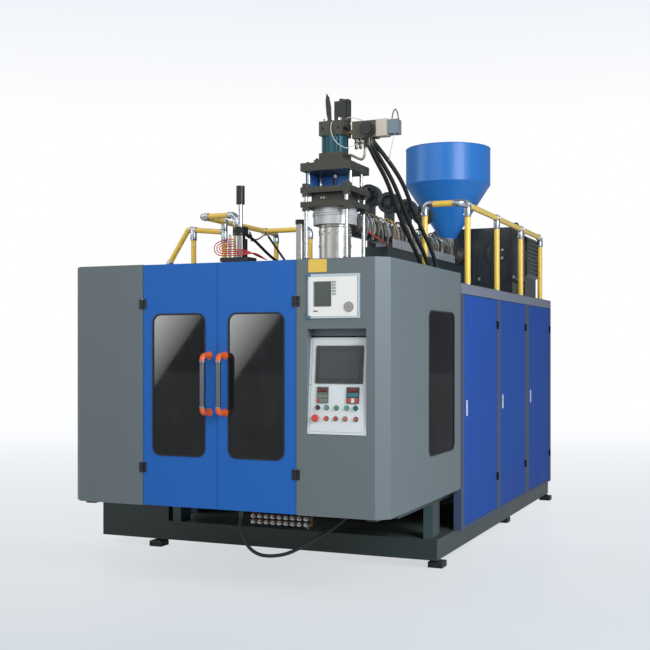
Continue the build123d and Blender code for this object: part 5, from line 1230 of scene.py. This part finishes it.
class MOULDER_OT_tower(bpy.types.Operator):
    """Finish the die head, its tower of plates and rods, the cylinder and the servo valve"""

    bl_idname = "moulder.tower"
    bl_label = "Die head tower"

    def execute(self, context):
        colours = context.scene.moulder_colours
        plates = tuple(colours.plates)
        bright = tint(206, 208, 210)
        dark = tint(34, 36, 36)
        beams = layer(2119, 2249.5, tint(40, 52, 52), 0.42, 0.1)
        lower = layer(2250, 2599, bright, 0.2, 1.0)
        between = [region(x0, x1, -FAR, FAR, 2665.5, 2702, bright, 0.2, 1.0)
                   for x0, x1 in ((0, HEAD_X - 131), (HEAD_X + 131, FAR))]
        upper = layer(2796, 2884.5, bright, 0.2, 1.0)
        column = region(150, 218, 870, 950, 2250, 2527.5, tint(188, 186, 178), 0.34, 0.8)
        cap = region(140, 225, 860, 960, 2527.6, 2570, dark, 0.4, 0.2)
        # The blue sheets take a paler blue than their paint: painted light on sheets that stand in shade.
        sheet = [region(275.5, x1, y0, 1034, 2768, 2884.9, tint(84, 150, 236), 0.35)
                 for x1, y0 in ((523, 1029), (279.6, 804))]
        wear_on("head_frame", surface(
            "tower_plate_finish", plates, 0.42, 0.35, mottle=0.1, dust=0.1, wear=0.5,
            regions=(beams, lower, *between, upper, column, cap, *sheet)))
        tube = region(HEAD_X - 89, HEAD_X + 89, HEAD_Y - 89, HEAD_Y + 89, 3024.5, 3148.5,
                      tuple(colours.cylinder), 0.34, 0.1)
        bolts = region(HEAD_X - 84, HEAD_X - 50, -FAR, FAR, 3252.5, 3275, bright, 0.25, 1.0)
        front_bolts = region(HEAD_X + 48, HEAD_X + 86, HEAD_Y - 86, HEAD_Y - 50, 3252.5, 3275,
                             bright, 0.25, 1.0)
        sensor = region(HEAD_X - 60, HEAD_X + 120, HEAD_Y - 80, HEAD_Y + 60, 3275, FAR, dark, 0.35, 0.1)
        wear_on("head_cylinder", surface(
            "cylinder_finish", plates, 0.4, 0.35, mottle=0.1, dust=0.08, wear=0.5,
            regions=(tube, sensor, bolts, front_bolts)))
        collar = layer(2506, 2627, tint(214, 216, 216), 0.42, 0.5)
        # The die's colour streaks run upright: tool lines, and in part a painted vertical sheen.
        wear_on("die_head", surface("die_steel", tint(206, 204, 199), 0.32, 1.0, regions=(collar,),
                                    lines=(26, 26, 1.5), dust=0.05, wear=0.1))
        # The dark band on the mandrel where it stands between the upper plates is painted shade; the silver
        # ring within it keeps the steel's own colour.
        shade_band_and_ring = [layer(low, high, tint(*colour), 0.36, metal)
                 for low, high, colour, metal in ((2790, 2890, (34, 36, 38), 0.2),
                                                  (2852, 2874, (214, 216, 218), 1.0))]
        wear_on("mandrel", surface("mandrel_steel", tint(214, 216, 218), 0.16, 1.0, regions=shade_band_and_ring,
                                   lines=(300, 300, 3), dust=0.02, wear=0))
        cream = region(791, 877.2, -FAR, FAR, 3120, 3250, tint(206, 196, 176), 0.45, 0.0)
        gray = region(877.2, 960, -FAR, FAR, 3130, 3237, tint(120, 132, 142), 0.4, 0.3)
        knob = region(670, 790, -FAR, 864.5, 3115, 3232, dark, 0.35, 0.2)
        pipes = region(550, 720, 880, 902, 2940, 3118, tint(150, 150, 128), 0.32, 0.9)
        block = region(610, 791, 864, 960, 3118.5, 3245, tint(82, 80, 68), 0.4, 0.4)
        neck = region(540, 611, 880, 940, 3140, 3200, tint(150, 142, 122), 0.35, 0.9)
        loop = region(880, 960, 900, 920, 3237, FAR, tint(52, 54, 58), 0.5, 0.0)
        wear_on("servo_valve_unit", surface(
            "servo_finish", tint(74, 74, 66), 0.36, 0.6, mottle=0.1, dust=0.08, wear=0.3,
            regions=(block, cream, gray, knob, pipes, neck, loop)))
        keep_tower_details()
        return {"FINISHED"}


def keep_tower_details():
    """Nuts, cables, clamp bands, bolts and small wires of the tower."""
    bm = bmesh.new()
    for sx in (-1, 1):
        for sy in (-1, 1):
            for out_x, out_y, z, radius, edge in ((157, 168, 2250, 27, 2), (150, 150, 2942, 11, 1.2),
                                                  (100, 100, 2973, 11, 1.2)):
                x, y = HEAD_X + sx * out_x, HEAD_Y + sy * out_y
                add_rod(bm, (x, y, z), (x, y, z + 12), radius, sides=6, edge=edge)
    for sx in (-1, 1):
        add_rod(bm, (HEAD_X + sx * 60, HEAD_Y - 90, 3200), (HEAD_X + sx * 60, HEAD_Y - 96, 3200), 9,
                sides=6, edge=1)
    keep_piece("tower_nuts", bm, [stock("dark bolt")], "machine")
    bm = bmesh.new()
    for z in (2573, 2588):
        add_ring(bm, (HEAD_X, HEAD_Y, z), (0, 0, 1), 161, 4, sides=64)
    keep_piece("collar_cables", bm, [stock("white plastic")], "machine")
    bm = bmesh.new()
    for step in range(12):
        angle = math.tau * step / 12
        side = Vector((math.cos(angle), math.sin(angle), 0))
        centre = Vector((HEAD_X, HEAD_Y, 2440))
        add_rod(bm, centre + side * 112, centre + side * 119, 9, sides=6, edge=1)
    add_turned(bm, (HEAD_X, HEAD_Y, 2484), (0, 0, 1),
               ((113, 0), (118, 0), (119, 3), (118, 6), (113, 6)), sides=64)
    keep_piece("die_clamp_bands", bm, [stock("machined steel")], "machine")
    bm = bmesh.new()
    for x in (410, 431):
        add_rod(bm, (x, 781, 2695), (x, 773, 2695), 7, sides=16, edge=1.5)
    keep_piece("spacer_bolts", bm, [stock("white plastic")], "machine")
    wires = [
        [(473, 820, 3240), (466, 800, 3190), (500, 790, 3110), (545, 800, 3060), (585, 815, 3045)],
        [(585, 815, 3045), (620, 850, 3060), (650, 880, 3085)],
        [(548, 880, 3260), (590, 850, 3275), (640, 862, 3262), (690, 880, 3246)],
        [(930, 885, 3140), (905, 890, 3060), (880, 920, 2990), (850, 980, 2960)],
    ]
    keep_lines("tower_wires", wires, 0.003, stock("pale wire"), "machine")


class MOULDER_OT_blow_station(bpy.types.Operator):
    """Finish the blow station and its pin"""

    bl_idname = "moulder.blow_station"
    bl_label = "Blow station"

    def execute(self, context):
        dark = tint(30, 31, 33)
        post = region(-399, -377, -FAR, FAR, 2298.5, 2463, tint(226, 228, 228), 0.4, 0.0)
        cylinder = region(-352, -270, -FAR, 890, 2298.5, 2465.5, tint(176, 178, 178), 0.3, 0.9)
        plate = layer(2119, 2298.4, tint(44, 50, 50), 0.42, 0.2)
        wear_on("blow_station", surface("blow_station_finish", dark, 0.4, 0.1, mottle=0.08, dust=0.15,
                                        wear=0.4, regions=(post, cylinder, plate)))
        cap = layer(2701, FAR, tint(38, 40, 42), 0.38, 0.1)
        wear_on("blow_pin", surface("blow_pin_finish", tint(210, 212, 214), 0.18, 1.0,
                                    regions=(cap,), dust=0.03, wear=0.1))
        bm = bmesh.new()
        for z in (2476, 2521):
            for x in (-340, -282):
                add_rod(bm, (x, 869, z), (x, 864, z), 5, sides=6, edge=0.6)
        keep_piece("blow_block_screws", bm, [stock("bolt")], "machine")
        conduit = [(-258, 955, 2495), (-300, 1080, 2476), (-421, 1300, 2470), (-560, 1600, 2500),
                   (-680, 1900, 2544), (-810, 2200, 2580), (-931, 2500, 2629), (-1050, 2780, 2680),
                   (-1125, 3010, 2712)]
        keep_lines("blow_conduit", [conduit], 0.007, stock("braid"), "machine")
        return {"FINISHED"}


# Front ends of the heater bands, the blowers' places along the barrel, and the barrel's height
BAND_STARTS = [1240 + 345 * index for index in range(7)]
BLOWERS = (1630, 2080, 2530, 2980)
BLOWER_Z = 2816
AXIS_Z = 2545


class MOULDER_OT_extruder(bpy.types.Operator):
    """Finish the barrel with its heater bands, blowers, trough and wiring"""

    bl_idname = "moulder.extruder"
    bl_label = "Extruder"

    def execute(self, context):
        colours = context.scene.moulder_colours
        sizes = context.scene.moulder_sizes
        trough = region(350, 574, 1840, 3640, 2426, 2501, tint(176, 180, 186), 0.42, 0.3)
        bed = region(350, 574, 1740, FAR, 2119, 2427.2, tint(44, 60, 62), 0.42, 0.1)
        wear_on("extruder_barrel", surface("barrel_steel", tint(150, 148, 144), 0.36, 1.0,
                                           regions=(trough, bed), dust=0.12, wear=0.2))
        wear_on("heater_bands", surface("band_steel", tint(196, 196, 194), 0.26, 1.0,
                                        lines=(60, 3, 60), dust=0.08, wear=0.1, mottle=0.15))
        wear_on("extruder_screw", stock("machined steel"))
        wear_on("barrel_blowers", surface("blower_paint", tuple(colours.cast), 0.4, mottle=0.1,
                                          dust=0.12, wear=0.3))
        bm = bmesh.new()
        for y0 in BAND_STARTS:
            for y in (y0 + 18, y0 + 142, y0 + 282):
                add_turned(bm, (HEAD_X, y, AXIS_Z), (0, 1, 0),
                           ((84, -7), (86.5, -7), (87, 0), (86.5, 7), (84, 7)), sides=48)
                add_box(bm, (HEAD_X + 62, y - 7, AXIS_Z + 62), (HEAD_X + 82, y + 7, AXIS_Z + 70), 1)
                add_rod(bm, (HEAD_X + 70, y, AXIS_Z + 56), (HEAD_X + 70, y, AXIS_Z + 80), 3.5,
                        sides=6, edge=0.4)
        keep_piece("band_straps", bm, [stock("zinc")], "machine")
        bm = bmesh.new()
        for y in BLOWERS:
            face = y - 45
            hub = Vector((HEAD_X, face - 2, BLOWER_Z))
            for radius in (30, 44, 58, 72, 84):
                add_ring(bm, hub, (0, 1, 0), radius, 1.8, sides=36, rounds=6)
            for spoke in range(6):
                angle = math.tau * spoke / 6
                side = Vector((math.cos(angle), 0, math.sin(angle)))
                add_rod(bm, hub + side * 24, hub + side * 85, 2.2, sides=8, edge=0)
            add_turned(bm, (HEAD_X, face - 4, BLOWER_Z), (0, 1, 0), ((0, 0), (26, 0), (24, 5), (0, 5)),
                       closed=False)
        keep_piece("blower_grilles", bm, [stock("black satin")], "machine")
        keep_wiring(sizes)
        return {"FINISHED"}


def keep_wiring(sizes):
    """Conduits and wires between the heater bands and the trough, the same on every run."""
    draw = random.Random(11)
    conduits, pale, amber, dark = [], [], [], []
    for y0 in BAND_STARTS:
        for kept in (conduits, dark, pale, conduits, amber):
            y = y0 + 26 + 58 * draw.uniform(0, 4.2)
            out = draw.uniform(92, 124)
            rise = draw.uniform(94, 120)
            lean = draw.uniform(0, 90)
            kept.append([(HEAD_X + 12, y, AXIS_Z + 96), (HEAD_X + 40, y + lean * 0.1, AXIS_Z + rise + 14),
                         (HEAD_X + out * 0.8, y + lean * 0.3, AXIS_Z + rise * 0.7),
                         (HEAD_X + out, y + lean * 0.6, AXIS_Z + 12),
                         (HEAD_X + 98, y + lean * 0.85, AXIS_Z - 66),
                         (HEAD_X + 92, y + lean, AXIS_Z - 96)])
    for strand in range(7):
        x = HEAD_X + 66 + strand * 5
        line = []
        for stop in range(13):
            y = 1870 + stop * 145
            line.append((x + draw.uniform(-5, 5), y, 2444 + draw.uniform(0, 14) + (strand % 3) * 12))
        (pale, conduits, dark)[strand % 3].append(line)
    keep_lines("band_conduits", conduits, sizes.conduit, stock("braid"), "machine")
    keep_lines("band_wires_pale", pale, sizes.wire, stock("pale wire"), "machine")
    keep_lines("band_wires_amber", amber, sizes.wire, stock("amber wire"), "machine")
    keep_lines("band_wires_dark", dark, sizes.wire * 1.4, stock("rubber"), "machine")
    red = [[(x, 1250, 2524 + up), (x + 30, 1400, 2474 + up), (x + 40, 1560, 2446 + up),
            (x + 30, 1700, 2436 + up), (x + 15, 1770, 2432)] for x, up in ((545, 0), (537, 14))]
    keep_lines("barrel_red_wires", red, sizes.wire, stock("red tube"), "machine")


class MOULDER_OT_hopper(bpy.types.Operator):
    """Finish the hopper and add its two beads"""

    bl_idname = "moulder.hopper"
    bl_label = "Hopper"

    def execute(self, context):
        colours = context.scene.moulder_colours
        wear_on("hopper", surface("hopper_paint", tuple(colours.hopper), 0.36, mottle=0.03,
                                  dust=0.04, wear=0.15, coat=0.08, peel=0.0003))
        bm = bmesh.new()
        add_ring(bm, (HEAD_X, 3769, 3541), (0, 0, 1), 406.5, 3.5, sides=96)
        add_ring(bm, (HEAD_X, 3769, 3193), (0, 0, 1), 406, 2.2, sides=96)
        keep_piece("hopper_beads", bm, [surface("hopper_bead_paint", tuple(colours.hopper), 0.3,
                                                coat=0.3)], "machine")
        return {"FINISHED"}


# Each bolt head on the gearbox: x, z, the y of its seat, and its colour
GEARBOX_BOLTS = ((361, 2609, 4014, (200, 202, 204)), (937, 2577, 4030, (200, 202, 204)),
                 (935, 2498, 4030, (200, 202, 204)), (699, 2300, 4050, (222, 218, 196)),
                 (1045, 2312, 4050, (222, 218, 196)))


class MOULDER_OT_drive(bpy.types.Operator):
    """Finish the gearbox with the bolts on its face, the motor and the motor shaft"""

    bl_idname = "moulder.drive"
    bl_label = "Gearbox and motor"

    def execute(self, context):
        colours = context.scene.moulder_colours
        finish = dict(roughness=0.36, mottle=0.12, dust=0.18, wear=0.3, peel=0.002, coat=0.15)
        cast = tuple(colours.cast)
        heads = [region(x - 16, x + 16, seat - 15, seat - 0.5, z - 16, z + 16, tint(*colour), 0.28,
                        0.9) for x, z, seat, colour in GEARBOX_BOLTS]
        wear_on("gearbox", surface("gearbox_paint", cast, regions=heads, **finish))
        wear_on("motor", surface("motor_paint", cast, **finish))
        wear_on("motor_shaft", stock("machined steel"))
        return {"FINISHED"}


class MOULDER_PT_parts(bpy.types.Panel):
    """Sidebar panel with every part of the machine"""

    bl_idname = "MOULDER_PT_parts"
    bl_label = "Blow moulding machine"
    bl_space_type = "VIEW_3D"
    bl_region_type = "UI"
    bl_category = "Machine"

    def draw(self, context):
        for operator in OPERATORS:
            self.layout.operator(operator.bl_idname)
        for settings in (context.scene.moulder_colours, context.scene.moulder_sizes,
                         context.scene.moulder_studio):
            column = self.layout.column()
            for name in settings.bl_rna.properties.keys():
                if name not in ("rna_type", "name"):
                    column.prop(settings, name)


OPERATORS = (MOULDER_OT_studio, MOULDER_OT_hoses, MOULDER_OT_air_tubes, MOULDER_OT_housing,
             MOULDER_OT_doors, MOULDER_OT_operator_panel, MOULDER_OT_controller, MOULDER_OT_cabinet,
             MOULDER_OT_base, MOULDER_OT_handrails, MOULDER_OT_tower, MOULDER_OT_blow_station,
             MOULDER_OT_extruder, MOULDER_OT_hopper, MOULDER_OT_drive)
CLASSES = (PaintColours, FittingSizes, StudioSettings, *OPERATORS, MOULDER_PT_parts)


def register():
    """Add the classes and their settings."""
    for one in CLASSES:
        bpy.utils.register_class(one)
    bpy.types.Scene.moulder_colours = PointerProperty(type=PaintColours)
    bpy.types.Scene.moulder_sizes = PointerProperty(type=FittingSizes)
    bpy.types.Scene.moulder_studio = PointerProperty(type=StudioSettings)


def unregister():
    """Remove the settings and their classes."""
    for name in ("moulder_colours", "moulder_sizes", "moulder_studio"):
        delattr(bpy.types.Scene, name)
    for one in reversed(CLASSES):
        bpy.utils.unregister_class(one)


def main():
    """Build every part in order."""
    register()
    for operator in OPERATORS:
        family, name = operator.bl_idname.split(".")
        getattr(getattr(bpy.ops, family), name)()


if __name__ == "__main__":
    main()
